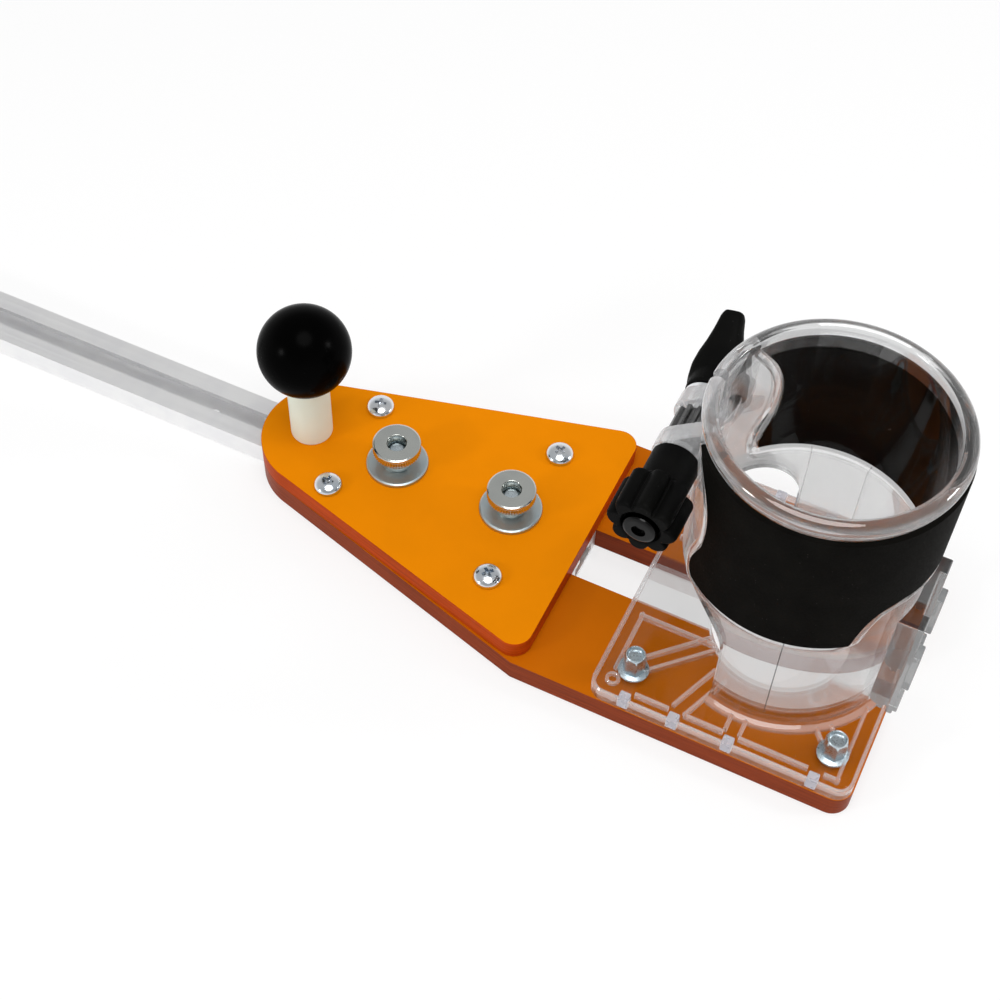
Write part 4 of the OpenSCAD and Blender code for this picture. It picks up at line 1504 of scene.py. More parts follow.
@dataclass
class RouterBase:
    """The clear moulding: floor with rails and ribs, tube with clamp ears, and guide holder."""

    x0: float = 122.5
    length: float = 84.0
    width: float = 96.2
    corner_r: float = 5.0
    floor_z: Flat = (8.58, 11.5)
    rib_h: float = 2.6
    rib_t: float = 1.6
    rib_w: float = 1.15
    rib_rounding: float = 0.55
    rib_sunk: float = 0.8
    rib_pair: float = 4.6
    rib_in: float = 23.0
    short_rib_in: float = 28.0
    screw_gap: float = 4.4
    tab_gap: float = 1.0
    rail_in: float = 3.4
    rail_inset: float = 4.3
    rail_gap: float = 5.0
    rail_end: float = 38.0
    middle_y: float = 16.0
    tabs: tuple[float, ...] = (0.14, 0.33, 0.54, 0.86)
    tab_in: float = 3.2
    tab_sunk: float = 2.2
    tab_proud: float = 0.15
    boss: Flat = (128.3, -41.4)
    cutter_r: float = 22.0
    screw_xs: Flat = (132.6, 197.2)
    screw_y: float = 35.3
    screw_hole_r: float = 2.25
    tube_x: float = 168.0
    bore_r: float = 32.5
    wall: float = 3.0
    foot_r: float = 37.4
    top_z: float = 115.4
    rim_r: float = 3.0
    split: float = 3.0
    window_side: float = 108.0
    window_spread: float = 36.0
    window_spring: float = 37.0
    window_rise: float = 16.5
    mould_lines: tuple[float, ...] = (107.0, 77.0, -80.0)
    clamp_x: float = 128.5
    clamp_z: float = 87.0
    ear_r: float = 7.8
    ear_ys: Flat = (5.0, 11.4)
    ear_root: float = 15.0
    ear_root_x: float = 135.0
    pinion_half: float = 8.5
    relief_r: float = 8.5
    shaft_bore_r: float = 4.6
    bolt_bore_r: float = 3.25
    bracket_x: float = 210.5
    bracket_y: float = 14.0
    bracket_z: float = 57.0
    bracket_hold_r: float = 34.0
    bracket_step: float = 2.0
    channel_y: float = 8.0
    channel_d: float = 4.0
    cheek_z: Flat = (25.5, 43.0)
    toe_top: float = 19.0
    border_r: float = 1.6
    edge: GripEdge = field(default_factory=GripEdge)

    def floor(self) -> Piece:
        """Makes the floor with its rails, its ribs and its small boss.

        Returns:
            The floor.
        """
        x1, half = self.x0 + self.length, self.width / 2
        low, high = self.floor_z
        outline = rounded_rectangle((self.x0, -half), (x1, half), self.corner_r)
        plate = soften(prism("clear_router_base", outline, low, high), 0.3)
        inset = self.rib_t / 2 - 0.2
        corners = (self.x0 + inset, inset - half), (x1 - inset, half - inset)
        rail = rounded_rectangle(*corners, self.corner_r - inset)
        height = self.rib_h + self.rib_sunk
        middle = high + self.rib_h - height / 2
        sizes = {"Width": self.rib_w, "Height": height, "Rounding": self.rib_rounding}
        loop = lines_object("outer_rail", [[(x, y, middle) for x, y in rail]], closed=True)
        combine(plate, RIBS.make(loop, CLEAR, **sizes), Cut.UNION)
        ribs = lines_object("inner_ribs", [[(x, y, middle) for x, y in line] for line in self.rib_lines()])
        combine(plate, RIBS.make(ribs, CLEAR, **sizes), Cut.UNION, tangled=True)
        ring = [(1.3, -0.5), (2.3, -0.5), (2.3, 1.2), (2.0, 1.5), (1.6, 1.5), (1.3, 1.2)]
        boss = lathe("small_boss", [(radius, high + z) for radius, z in ring], self.boss, 32)
        return combine(plate, boss, Cut.UNION)

    def tab_xs(self) -> list[float]:
        """Returns where the edge tabs sit along X."""
        return [self.x0 + share * self.length for share in self.tabs]

    def rib_lines(self) -> list[list[Flat]]:
        """Lays out the inner rails and the rib pairs, for both halves.

        Returns:
            Their straight lines.
        """
        half = self.rib_t / 2
        left = self.x0 + self.rail_inset + half
        right = self.x0 + self.length - self.rail_inset - half
        outer = self.width / 2 - self.rail_in - half
        inner = self.middle_y + half
        inner_end = self.tube_x - math.sqrt(self.rib_in ** 2 - inner ** 2)
        reach = math.sqrt(self.foot_r ** 2 - (right - self.tube_x) ** 2)
        xs = self.tab_xs()
        gaps = [edge for x in xs for edge in (x - self.rail_gap / 2, x + self.rail_gap / 2)]
        stops = [*gaps[1:], right + half]
        lines: list[list[Flat]] = []
        for side in (-1, 1):
            lines += [[(a, side * outer), (b, side * outer)] for a, b in zip(stops[::2], stops[1::2])]
            lines.append([(left, side * self.rail_end), (left, side * (inner - half))])
            lines.append([(left - half, side * inner), (inner_end, side * inner)])
            lines.append([(right, side * (outer + half)), (right, side * reach)])
            for x, y, gap, end in (
                (self.screw_xs[0], self.screw_y, self.screw_gap, self.rib_in),
                (self.screw_xs[1], self.screw_y, self.screw_gap, self.foot_r),
                (xs[1], outer, self.tab_gap, self.short_rib_in),
                (xs[2], outer, self.tab_gap, self.foot_r),
            ):
                lines += self.rib_pair_from((x, side * y), gap, end)
        return lines

    def rib_pair_from(self, start: Flat, gap: float, end: float) -> list[list[Flat]]:
        """Lays two ribs from a point towards the tube's axis.

        Args:
            start: the point.
            gap: how far from the point they start.
            end: how far from the axis they stop.

        Returns:
            Their two lines.
        """
        to_tube = Vector((self.tube_x - start[0], -start[1]))
        far = to_tube.length
        along = to_tube / far
        across = Vector((-along.y, along.x)) * self.rib_pair / 2
        first, last = Vector(start) + along * gap, Vector(start) + along * (far - end)
        return [[tuple(first + s * across), tuple(last + s * across)] for s in (-1, 1)]

    def tube(self) -> Piece:
        """Makes the tube with its rounded rim, its foot, its ears and the bead round the rubber.

        Returns:
            The tube.
        """
        r, outer, top, foot = self.bore_r, self.bore_r + self.wall, self.top_z, self.floor_z[1]
        levels = [foot + 9 + 3.6 * i for i in range(25)]
        rim = arc((outer - 1.6, top - self.rim_r), self.rim_r, 90, -57, 14)
        flare = ((0.0, 5.5), (0.25, 3.6), (0.9, 2.3), (1.9, 1.9), (2.5, 1.5), (2.7, 1.0), (2.7, -1.6))
        profile = [
            (r, foot - 1.6), (r, foot + 4), *((r, z) for z in levels),
            (r, top - 1.3), (r + 0.12, top - 0.75), (r + 0.45, top - 0.3), (r + 0.95, top - 0.03),
            *rim, (outer + 0.12, top - 5.8), (outer, top - 6.3),
            *((outer, z) for z in reversed(levels) if z < top - 7),
            *((outer + out, foot + z) for out, z in flare),
        ]
        solid = lathe("tube", profile, (self.tube_x, 0.0), 180)
        line = lines_object("grip_border", [self.border_line()])
        combine(solid, BEAD.make(line, CLEAR, Radius=self.border_r, Sides=14), Cut.UNION)
        for ear in self.ears():
            combine(solid, ear, Cut.UNION)
        for tool in self.tube_cuts():
            combine(solid, tool, Cut.DIFFERENCE)
        return solid

    def border_line(self) -> list[Point]:
        """Lays out the raised border, just outside the rubber's edge.

        Returns:
            Its line from end to end.
        """
        radius = self.bore_r + self.wall + 0.15
        near, far = self.half_border(-1, radius), self.half_border(1, radius)
        whole = [(-angle, z) for angle, z in near] + [(0.0, near[-1][1])] + far[::-1]
        return [around(self.tube_x, radius, angle, z) for angle, z in whole]

    def half_border(self, side: int, radius: float) -> list[Flat]:
        """Works out one half of the border, from its upper end to the middle of the step.

        Args:
            side: -1 for the near half, 1 for the far half.
            radius: the border's distance from the tube's axis.

        Returns:
            Angles from +X, all positive, and heights.
        """
        edge, clear = self.edge, self.border_r + 0.1
        spread = math.degrees(clear / radius)
        heights = [108.2 - 1.6 * i for i in range(30)]
        half = [(edge.limit(z) + spread, z) for z in heights if z > edge.low_z + 1]
        bottom, step = edge.low_z - clear, edge.step_z - clear
        corner, foot = half[-1][0], edge.rise(edge.low_z, side)
        head = edge.rise(edge.step_z, side) - spread
        half += [(corner - 0.6, edge.low_z), (corner - 2.2, bottom + 0.4)]
        half += [(corner - 4.5 - (corner - 8.5 - foot) * i / 30, bottom) for i in range(31)]
        half += [(edge.rise(z, side) - spread * 0.9, z - 0.9) for z in (61.0, 64.0, 67.0, 70.0, 72.5)]
        half += [(head - 1.5, step - 0.25), (head - 5.0, step)]
        return half + [((head - 5.0) * (1 - i / 5), step) for i in range(1, 5)]

    def ears(self) -> list[Piece]:
        """Makes both clamp ears: round tabs that run back into the tube's wall.

        Returns:
            The ears.
        """
        x, z, root = self.clamp_x, self.clamp_z, self.ear_root_x
        reach = math.degrees(math.atan2(self.ear_root - self.ear_r, root - x))
        outline = arc((x, z), self.ear_r, 90 + reach, 270 - reach, 24)
        outline += [(root, z - self.ear_root), (root, z + self.ear_root)]
        low, high = self.ear_ys
        solids = [prism("ear", outline, y0, y1, along_y) for y0, y1 in ((low, high), (-high, -low))]
        return [soften(solid, 0.7, 3) for solid in solids]

    def bracket(self) -> list[Piece]:
        """Makes the stepped guide holder on the tube's front.

        Returns:
            Its solids.
        """
        back, deep = self.bracket_x - self.bracket_step, self.bracket_x - self.channel_d
        y, channel, low = self.bracket_y, self.channel_y, self.floor_z[1] - 1.0
        turn = math.degrees(math.asin(y / self.bracket_hold_r))
        curve = arc((self.tube_x, 0.0), self.bracket_hold_r, turn, -turn, 16)
        steps = [(back, -y), (back, -channel), (deep, -channel), (deep, channel), (back, channel), (back, y)]
        solids = [soften(prism("holder", curve + steps, low, self.bracket_z), 0.4)]
        lumps = (
            ("cheek", 0.2, deep + 0.5, self.bracket_x, *self.cheek_z),
            ("toe", 1.2, deep + 0.6, back + 1.2, low, self.toe_top),
        )
        for side in (-1, 1):
            for name, inset, x0, x1, z0, z1 in lumps:
                y0, y1 = sorted((side * (channel + inset), side * (y - inset)))
                solids.append(soften(block(name, (x0, y0, z0), (x1, y1, z1)), 0.4))
        return solids

    def window(self) -> Piece:
        """Makes the tool for the arched window, with sides that point to the tube's axis.

        Returns:
            The tool.
        """
        spring, rise = self.window_spring, self.window_rise
        turns = [math.radians(6 * i) for i in range(16)]
        half = [(self.window_side + self.window_spread * (1 - math.cos(t)), spring + rise * math.sin(t))
                for t in turns]
        half += [(180.0 - 12 * i, spring + rise) for i in (2, 1, 0)]
        whole = half + [(360.0 - angle, z) for angle, z in reversed(half[:-1])]
        low, inside, outside = 0.0, self.bore_r - 3, self.bore_r + self.wall + 4
        rings = []
        for angle, z in whole:
            corners = ((inside, low), (inside, z), (outside, z), (outside, low))
            rings.append([around(self.tube_x, radius, angle, height) for radius, height in corners])
        return ring_loft("window", rings, False)

    def tube_cuts(self) -> list[Piece]:
        """Makes the tools for the tube's window, split, pinion gap, bores, reliefs and mould lines.

        Returns:
            The tools.
        """
        x, z, (inner, out) = self.clamp_x, self.clamp_z, self.ear_ys
        half, tube, gap = self.split / 2, self.tube_x, self.pinion_half
        tools = [
            self.window(),
            block("split", (tube - 50, -half, 0.0), (tube - 28, half, self.top_z + 5)),
            block("pinion_gap", (x, -inner, z - gap), (tube, inner, z + gap)),
            rod_y("near_bore", x, z, self.shaft_bore_r, -out - 3, 0.0),
            rod_y("far_bore", x, z, self.bolt_bore_r, 0.0, out + 3),
            rod_y("near_relief", x, z, self.relief_r, -out - 24, -out),
            rod_y("far_relief", x, z, self.relief_r, out, out + 24),
        ]
        outer, half_line = self.bore_r + self.wall, 0.16
        low, high = self.floor_z[1] + 6, 57.0
        for angle in self.mould_lines:
            line = block("mould_line", (outer - 0.22, -half_line, low), (outer + 1, half_line, high))
            turn = Matrix.Rotation(math.radians(angle), 4, "Z")
            line.data.transform(Matrix.Translation((tube, 0, 0)) @ turn)
            tools.append(line)
        return tools

    def floor_cuts(self) -> list[Piece]:
        """Makes the tools for the cutter opening and the screw holes.

        Returns:
            The tools.
        """
        top = self.floor_z[1] + 5
        tools = [prism("cutter_opening", arc((self.tube_x, 0.0), self.cutter_r, 0, 356, 89), 0.0, top)]
        for x in self.screw_xs:
            for y in (-self.screw_y, self.screw_y):
                hole = arc((x, y), self.screw_hole_r, 0, 345, 23)
                tools.append(prism("screw_hole", hole, 0.0, top))
        return tools

    def edge_tabs(self, grow: float) -> list[Piece]:
        """Makes the blocks that bridge the rails along both edges.

        Args:
            grow: how much larger each is made all round, for the cut that it sits in.

        Returns:
            The blocks.
        """
        half, size = self.width / 2, (self.rail_gap - self.rib_t) / 2 + grow
        floor = self.floor_z[1]
        low, high = floor - self.tab_sunk - grow, floor + self.rib_h + self.tab_proud + grow
        out = 0.4 if grow else -0.05
        made = []
        for side in (-1, 1):
            y0, y1 = sorted((side * (half - self.tab_in - grow), side * (half + out)))
            made += [block("tab", (x - size, y0, low), (x + size, y1, high)) for x in self.tab_xs()]
        return made

    def face_kind(self, x: float, y: float, z: float) -> ClearFace:
        """Tells the finish of a face from where its middle lies.

        Args:
            x: its place along the jig, in millimetres from the handle post.
            y: its place across the jig.
            z: its height.

        Returns:
            The finish's place in the moulding's list.
        """
        ear_x, ear_z, edge_z, rim_z = self.tube_x - 33.5, 70.0, 60.0, self.top_z - 6
        depth = math.hypot(x - self.tube_x, y) - self.bore_r
        if z < self.floor_z[1] + self.rib_h + 0.1:
            rib = z > self.floor_z[1] + 0.04 and abs(depth) > 0.3
            return ClearFace.RIB if rib else ClearFace.PLAIN
        in_front = x > self.tube_x and abs(y) < self.bracket_y + 0.3 and z < self.bracket_z + 0.3
        if depth > self.wall + 0.2 and in_front:
            return ClearFace.HOLDER
        if x < ear_x and z > ear_z:
            return ClearFace.RIB
        # Faces inside the wall below the rim are the window's cut faces, which take the painted dark finish.
        if 0.3 < depth < self.wall - 0.05 and z < edge_z:
            return ClearFace.CUT
        if depth > self.wall + 0.1 or z > rim_z:
            return ClearFace.RIM
        return ClearFace.BORE if abs(depth) < 0.1 else ClearFace.PLAIN

    def mark_faces(self, whole: Piece) -> None:
        """Gives each face of the moulding the finish of its kind.

        Args:
            whole: the moulding, in the jig's frame.
        """
        for finish in FACE_FINISHES.values():
            whole.data.materials.append(finish.material())
        for face in whole.data.polygons:
            face.material_index = self.face_kind(*(TO_POST @ face.center)).value

    def build(self) -> None:
        """Joins the whole moulding into one clear piece, with frosted tabs let into its edges."""
        whole = self.floor()
        for solid in [self.tube(), *self.bracket()]:
            combine(whole, solid, Cut.UNION)
        for tool in [*self.floor_cuts(), *self.edge_tabs(0.02)]:
            combine(whole, tool, Cut.DIFFERENCE)
        tabs = merge("frosted_edge_tabs", [soften(tab, 0.35) for tab in self.edge_tabs(0.0)])
        deliver(tabs, FROSTED, Body.JIG, Slot.CLEAR, angle=30)
        deliver(whole, CLEAR, Body.JIG, Slot.CLEAR, "base_plate", "motor_tube", "guide_bracket", angle=28)
        self.mark_faces(whole)


@dataclass
class BaseScrews:
    """The four hex washer-head screws of the router base."""

    floor_z: float = 11.5
    across: float = 6.3
    hex_h: float = 9.4
    crown: float = 0.94
    dish: Flat = (0.78, 1.4)
    flange_r: float = 4.9
    flange_t: float = 1.2
    shank_r: float = 2.0
    shank_l: float = 11.0
    pitch: float = 1.1
    turns: float = 9.0
    xs: Flat = (132.6, 197.2)
    y: float = 35.3

    def hexagon(self, corner: float) -> Piece:
        """Makes the chamfered hex with its dished top.

        Args:
            corner: its radius at the corners.

        Returns:
            The hex.
        """
        top, wide = self.hex_h, corner + 0.4
        solid = prism("hex", arc((0.0, 0.0), corner, 0, 300, 5), 0.4, top)
        crown = self.across / 2 * self.crown
        cone = [
            (0.0, 0.2), (wide, 0.2), (wide, top - 2.6), (crown, top - 0.1), (crown - 0.2, top), (0.0, top),
        ]
        combine(solid, lathe("crown", cone, steps=48), Cut.INTERSECT)
        dish_r, dish_d = self.across / 2 * self.dish[0], self.dish[1]
        low = top - dish_d
        dish = [
            (0.0, low), (dish_r * 0.86, low), (dish_r * 0.96, top - dish_d * 0.8), (dish_r, top + 0.02),
            (dish_r, top + 1), (0.0, top + 1),
        ]
        combine(solid, lathe("dish", dish, steps=40), Cut.DIFFERENCE)
        return soften(solid, 0.18, 2, 40)

    def one(self) -> Piece:
        """Makes one screw about the origin: flange, hex and threaded shank.

        Returns:
            The screw.
        """
        corner = self.across / math.sqrt(3)
        head = self.hexagon(corner)
        r, t = self.flange_r, self.flange_t
        flange = [
            (0.0, 0.05), (r - 0.2, 0.05), (r, 0.25), (r, t - 0.45), (r - 0.2, t - 0.2),
            (corner + 0.1, t + 0.05), (corner - 0.6, t + 0.2), (0.0, t + 0.2),
        ]
        core, tip = self.shank_r - 0.25, -self.shank_l
        shank = [(0.0, tip), (self.shank_r - 0.7, tip), (core, tip + 1.2), (core, 0.3), (0.0, 0.3)]
        foot = (0.0, 0.0, -0.4 - self.pitch * self.turns)
        stem = THREAD.make(lathe("stem", shank, steps=32), BOLT_ZINC, Radius=self.shank_r - 0.3, Depth=0.28,
                           Pitch=self.pitch, Turns=self.turns, Foot=foot)
        return merge("hex_screw", [head, lathe("flange", flange, steps=64), stem])

    def build(self) -> None:
        """Sets the four screws in place."""
        points = [(x, y, self.floor_z) for x in self.xs for y in (-self.y, self.y)]
        screws = set_copies("hex_flange_screws", self.one(), points, BOLT_ZINC, turn=0.45)
        deliver(screws, BOLT_ZINC, Body.JIG, Slot.ZINC, "base_screws", angle=30)


@dataclass
class ClampAxis:
    """What sits on the clamp axis: depth knob, clamp bolt, washer, wing nut and pinion."""

    x: float = 128.5
    z: float = 87.0
    knob_ys: Point = (-11.5, -23.9, -37.7)
    hub_r: float = 7.2
    knob_r: float = 10.6
    lobes: int = 8
    lobe_r: float = 2.7
    lobe_depth: float = 0.8
    lobe_sharp: float = 14.0
    lobe_swell: float = 1.012
    shaft_r: float = 4.55
    bolt_r: float = 3.0
    bolt_head: Point = (5.2, -38.8, -35.8)
    bolt_end: float = 23.9
    bolt_turns: float = 18.0
    washer: Point = (7.4, 11.4, 12.8)
    washer_bore: float = 3.25
    wing_y: float = 12.9
    wing_hub_r: float = 8.0
    wing_hub_l: float = 9.0
    wing_turn: float = 12.0
    wing_round: Flat = (0.62, 0.7)
    wing_points: int = 28
    wing_grain: float = 0.42
    around: int = 160

    def on_axis(self, obj: Piece, axis: str, turn: float) -> Piece:
        """Turns a piece about the origin and moves it onto the clamp axis.

        Args:
            obj: the piece.
            axis: the axis that it turns about, X or Y.
            turn: how far it turns, in degrees.

        Returns:
            The same piece.
        """
        rotation = Matrix.Rotation(math.radians(turn), 4, axis)
        obj.data.transform(Matrix.Translation((self.x, 0, self.z)) @ rotation)
        return obj

    def lobed(self, turn: float) -> float:
        """Works out the knob's radius at an angle.

        Args:
            turn: the angle, in radians.

        Returns:
            The radius, as a share of the full one.
        """
        pitch = math.tau / self.lobes
        away = (turn + pitch / 2) % pitch - pitch / 2
        middle = self.knob_r - self.lobe_r
        core = self.knob_r - self.lobe_r * self.lobe_depth
        inside = self.lobe_r ** 2 - (middle * math.sin(away)) ** 2
        lobe = middle * math.cos(away) + math.sqrt(inside) if inside > 0 else 0.0
        sharp = self.lobe_sharp
        return (lobe ** sharp + core ** sharp) ** (1 / sharp) / (self.knob_r * self.lobe_swell)

    def knob_ring(self, y: float, radius: float, share: float) -> list[Point]:
        """Lays out one ring of the knob.

        Args:
            y: its place along the axis.
            radius: its radius, at the lobes where it has them.
            share: 0 for a round ring, 1 for a lobed one.

        Returns:
            The ring's points.
        """
        ring = []
        for i in range(self.around):
            turn = math.tau * i / self.around
            r = radius * (1 - share + share * self.lobed(turn))
            ring.append((self.x + r * math.cos(turn), y, self.z + r * math.sin(turn)))
        return ring

    def knob(self) -> None:
        """Makes the depth knob: smooth hub, lobed head and a recess for the bolt's head."""
        y0, y1, y2 = self.knob_ys
        hub, r, bore, shaft = self.hub_r, self.knob_r, self.bolt_r + 0.05, self.shaft_r
        steps = [
            (y0, shaft, 0), (y0, hub - 0.5, 0), (y0 - 0.15, hub - 0.15, 0), (y0 - 0.5, hub, 0),
            (y0 - 5, hub, 0), (y1 + 1.6, hub, 0), (y1 + 0.9, hub + 0.25, 0.1), (y1 + 0.35, r * 0.84, 0.75),
            (y1 + 0.05, r * 0.92, 1), (y1 - 0.25, r * 0.97, 1), (y1 - 0.9, r, 1), (y1 - 5, r, 1),
            (y2 + 4, r, 1), (y2 + 1.5, r * 0.99, 1), (y2 + 0.7, r * 0.965, 1), (y2 + 0.2, r * 0.92, 1),
            (y2, r * 0.86, 1),
            (y2, 7.2, 0.2), (y2 + 0.15, 6.3, 0), (y2 + 0.6, 5.75, 0), (y2 + 1.9, 5.5, 0), (y2 + 2.0, 5.2, 0),
            (y2 + 2.0, bore, 0), (y1, bore, 0), (y1, shaft, 0),
        ]
        knob = ring_loft("lobed_depth_knob", [self.knob_ring(*step) for step in steps], True)
        deliver(knob, BLACK_PLASTIC, Body.DEPTH, Slot.PLASTIC, "depth_knob", angle=50)
        dress_node("pinion_gear", DARK_STEEL)

    def bolt(self) -> None:
        """Makes the clamp bolt with a domed socket head and its thread, and the washer by the wing nut."""
        r, end, (head_r, low, high) = self.bolt_r, self.bolt_end, self.bolt_head
        core = r - 0.06
        profile = [
            (0.0, low + 1.2), (1.9, low + 1.2), (2.1, low), (head_r - 1.5, low), (head_r - 0.5, low + 0.35),
            (head_r, low + 1.1), (head_r, high), (core, high), (core, 4.0), (r - 0.4, 4.5),
            (r - 0.4, end - 0.5), (r - 0.9, end), (0.0, end),
        ]
        bolt = THREAD.make(lathe("clamp_screw", profile, steps=64), BLACK_STEEL, Radius=r - 0.42, Pitch=1.0,
                           Turns=self.bolt_turns, Depth=0.36, Foot=(0.0, 0.0, 5.0))
        self.on_axis(bolt, "X", -90)
        deliver(bolt, BLACK_STEEL, Body.JIG, Slot.ZINC, "clamp_bolt", angle=35)
        bore, (w, y0, y1) = self.washer_bore, self.washer
        ring = [
            (bore, y0 + 0.02), (w - 0.2, y0 + 0.02), (w, y0 + 0.25), (w, y1 - 0.25), (w - 0.2, y1),
            (bore, y1),
        ]
        washer = self.on_axis(lathe("wing_ring", ring, steps=72), "X", -90)
        deliver(washer, ZINC, Body.JIG, Slot.ZINC, "wing_washer", angle=35)

    def wing_section(self, side: int, out: float, y: float, half_w: float, half_h: float,
                     lean: float) -> list[Point]:
        """Lays out one rounded section of a wing.

        Args:
            side: 1 for the upper wing and -1 for the lower.
            out: distance of its middle from the axis.
            y: its place along the axis.
            half_w: half its width across the wing.
            half_h: half its thickness.
            lean: angle of the wing's run from the axis, in degrees.

        Returns:
            The section's points.
        """
        slope, (round_w, round_h) = math.radians(lean), self.wing_round
        points = []
        for i in range(self.wing_points):
            turn = math.tau * i / self.wing_points
            c, s = math.cos(turn), math.sin(turn)
            across = half_w * math.copysign(abs(c) ** round_w, c)
            deep = half_h * math.copysign(abs(s) ** round_h, s)
            points.append((across, y - deep * math.sin(slope), side * (out + deep * math.cos(slope))))
        return points

    def wing_nut(self) -> None:
        """Makes the wing nut: a hub and two swept wings, melted together."""
        sections = (
            (0.0, 17.8, 8.6, 3.6, 60.0), (2.2, 19.4, 8.5, 3.7, 52.0), (4.6, 21.8, 8.1, 3.7, 44.0),
            (6.8, 24.8, 7.0, 3.5, 38.0), (9.0, 28.0, 5.4, 3.2, 34.0), (11.2, 31.6, 4.2, 3.0, 32.0),
            (12.8, 34.6, 3.6, 2.7, 30.0), (13.6, 36.2, 2.8, 2.1, 28.0),
        )
        wings = [ring_loft("wing", [self.wing_section(side, *section) for section in sections], False)
                 for side in (1, -1)]
        r, y, top = self.wing_hub_r, self.wing_y, self.wing_y + self.wing_hub_l - 0.4
        hub = [
            (0.0, y + 0.3), (r - 0.8, y + 0.3), (r - 0.1, y + 0.9), (r - 0.1, y + 5.5), (r - 1.2, top),
            (0.0, top),
        ]
        core = lathe("hub", hub, steps=64)
        core.data.transform(Matrix.Rotation(math.radians(-90), 4, "X"))
        nut = merge("black_wing_nut", [core, *wings])
        melt = nut.modifiers.new("melt", "REMESH")
        melt.mode = "VOXEL"
        melt.voxel_size = self.wing_grain
        ease = nut.modifiers.new("ease", "SMOOTH")
        ease.factor = 0.5
        ease.iterations = 14
        bake(nut)
        combine(nut, rod_y("bore", 0.0, 0.0, self.bolt_r + 0.1, 0.0, 60.0, 48), Cut.DIFFERENCE)
        self.on_axis(nut, "Y", -self.wing_turn)
        deliver(nut, BLACK_PLASTIC, Body.WING, Slot.PLASTIC, "wing_nut", angle=50)

    def build(self) -> None:
        """Makes everything on the axis."""
        self.knob()
        self.bolt()
        self.wing_nut()


@dataclass(frozen=True)
class Lamp:
    """A soft round lamp: where it hangs, in degrees, how wide it is and how strong."""

    azimuth: float
    elevation: float
    size: float
    power: float

    def way(self) -> Vector:
        """Returns the direction to the lamp."""
        a, e = math.radians(self.azimuth), math.radians(self.elevation)
        return Vector((math.cos(a) * math.cos(e), math.sin(a) * math.cos(e), math.sin(e)))


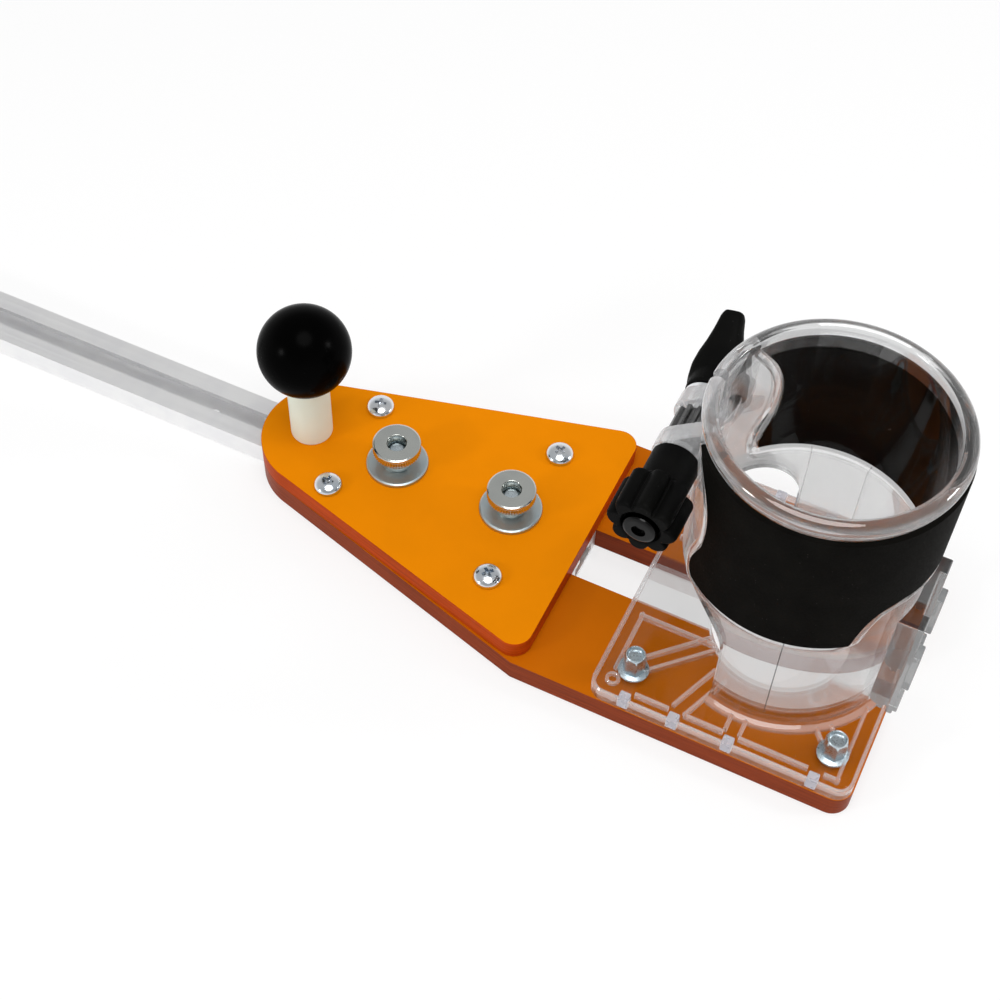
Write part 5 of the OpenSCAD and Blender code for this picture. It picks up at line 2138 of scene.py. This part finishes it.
@dataclass
class Studio:
    """The floor, the light and the camera."""

    eye: Point = (0.25065, -0.3075, 0.4761)
    azimuth: float = 25.45
    elevation: float = 54.06
    roll: float = 1.08
    lens: float = 63.12
    sensor: float = 36.0
    shift: Flat = (0.0284, 0.0101)
    near_limit: float = 0.01
    floor_half: float = 4.0
    floor_drop: float = 0.0003
    floor_grey: float = 0.95
    floor_glow: float = 0.65
    light: float = 0.55
    overhead: tuple[float, ...] = (0.12, 0.62, 1.0, 0.5)
    behind_eye: tuple[float, ...] = (0.55, 0.97, 1.0, 0.75)
    turns: tuple[int, int, int] = (32, 16, 24)
    lamp_middle: Point = (0.12, 0.0, 0.04)
    lamp_reach: float = 1.1
    lamps: tuple[Lamp, ...] = (
        Lamp(-127.7, 23.8, 0.18, 2.0), Lamp(21.6, 28.6, 0.18, 2.0), Lamp(-60.0, 78.0, 0.7, 6.0))

    def camera(self) -> None:
        """Sets the camera at the photograph's viewing angle."""
        a, e, r = (math.radians(v) for v in (self.azimuth, self.elevation, self.roll))
        back = Vector((math.sin(a) * math.cos(e), -math.cos(a) * math.cos(e), math.sin(e)))
        level = Vector((math.cos(a), math.sin(a), 0.0))
        rise = back.cross(level)
        right = math.cos(r) * level + math.sin(r) * rise
        up = math.cos(r) * rise - math.sin(r) * level
        data = bpy.data.cameras.new("camera")
        data.lens, data.sensor_width = self.lens, self.sensor
        data.shift_x, data.shift_y = self.shift
        data.clip_start = self.near_limit
        camera = show("camera", data)
        turn = Matrix((right, up, back)).transposed().to_4x4()
        camera.matrix_world = Matrix.Translation(self.eye) @ turn
        bpy.context.scene.camera = camera

    def floor(self) -> None:
        """Lays the pale floor, which keeps a soft shadow."""
        size = self.floor_half
        corners = [(-size, -size, 0), (size, -size, 0), (size, size, 0), (-size, size, 0)]
        sheet = new_object("floor", corners, [(0, 1, 2, 3)])
        sheet.location.z = -self.floor_drop
        material = bpy.data.materials.new("pale_floor")
        material.use_nodes = True
        graph = Graph(material.node_tree)
        nodes = material.node_tree.nodes
        nodes.remove(nodes["Principled BSDF"])
        rays = graph.add("ShaderNodeLightPath").outputs
        mirrored = graph.math("MAXIMUM", rays["Is Glossy Ray"], rays["Is Transmission Ray"])
        seen = graph.math("MAXIMUM", rays["Is Camera Ray"], mirrored)
        paper = graph.add("ShaderNodeBsdfDiffuse", {"Color": opaque((self.floor_grey,) * 3)}).outputs[0]
        white = graph.add("ShaderNodeEmission", {"Color": WHITE, "Strength": 1.0}).outputs[0]
        both = graph.blend(graph.math("MULTIPLY", seen, self.floor_glow), paper, white)
        graph.link(both, nodes["Material Output"].inputs[0])
        sheet.data.materials.append(material)

    def world(self) -> None:
        """Fills the room with soft light, white to the camera and greyer overhead in reflections."""
        world = bpy.data.worlds.new("studio")
        bpy.context.scene.world = world
        world.use_nodes = True
        graph = Graph(world.node_tree)
        rays = graph.add("ShaderNodeLightPath").outputs
        mirrored = graph.math("MAXIMUM", rays["Is Glossy Ray"], rays["Is Transmission Ray"])
        way = graph.add("ShaderNodeTexCoord").outputs["Generated"]
        height = graph.add("ShaderNodeSeparateXYZ", {0: way}).outputs[2]
        front = tuple(Vector(self.eye).normalized())
        facing = graph.add("ShaderNodeVectorMath", {0: way, 1: front}, operation="DOT_PRODUCT").outputs[1]
        room, shade = graph.ramp(height, *self.overhead), graph.ramp(facing, *self.behind_eye)
        level = graph.weigh(mirrored, self.light, graph.math("MULTIPLY", room, shade))
        back = world.node_tree.nodes["Background"]
        graph.put(back, "Color", WHITE)
        graph.put(back, "Strength", graph.weigh(rays["Is Camera Ray"], level, 1.0))

    def light_up(self) -> None:
        """Hangs the soft lamps round the jig."""
        for k, lamp in enumerate(self.lamps):
            way = lamp.way()
            data = bpy.data.lights.new(f"lamp_{k}", "AREA")
            data.shape, data.size, data.energy = "DISK", lamp.size, lamp.power
            hung = show(f"lamp_{k}", data)
            hung.location = Vector(self.lamp_middle) + way * self.lamp_reach
            hung.rotation_euler = way.to_track_quat("Z", "Y").to_euler()

    def ray_limits(self) -> None:
        """Lets light turn often enough inside the clear moulding, where it runs along the walls."""
        rays = bpy.context.scene.cycles
        rays.max_bounces, rays.glossy_bounces, rays.transmission_bounces = self.turns
        rays.transparent_max_bounces = self.turns[1]

    def build(self) -> None:
        """Sets up the whole studio."""
        self.camera()
        self.floor()
        self.world()
        self.light_up()
        bpy.context.scene.view_settings.view_transform = "Standard"
        self.ray_limits()


def main() -> None:
    """Builds the studio and every sub-assembly in order."""
    logging.basicConfig(level=logging.INFO, format="%(name)s: %(message)s")
    kinds = (Studio, Plates, PlateScrews, Track, TrackClamps, Handle, RouterBase, RubberGrip, BaseScrews,
             ClampAxis)
    for kind in kinds:
        LOG.info("building %s", kind.__name__)
        kind().build()


if __name__ == "__main__":
    main()
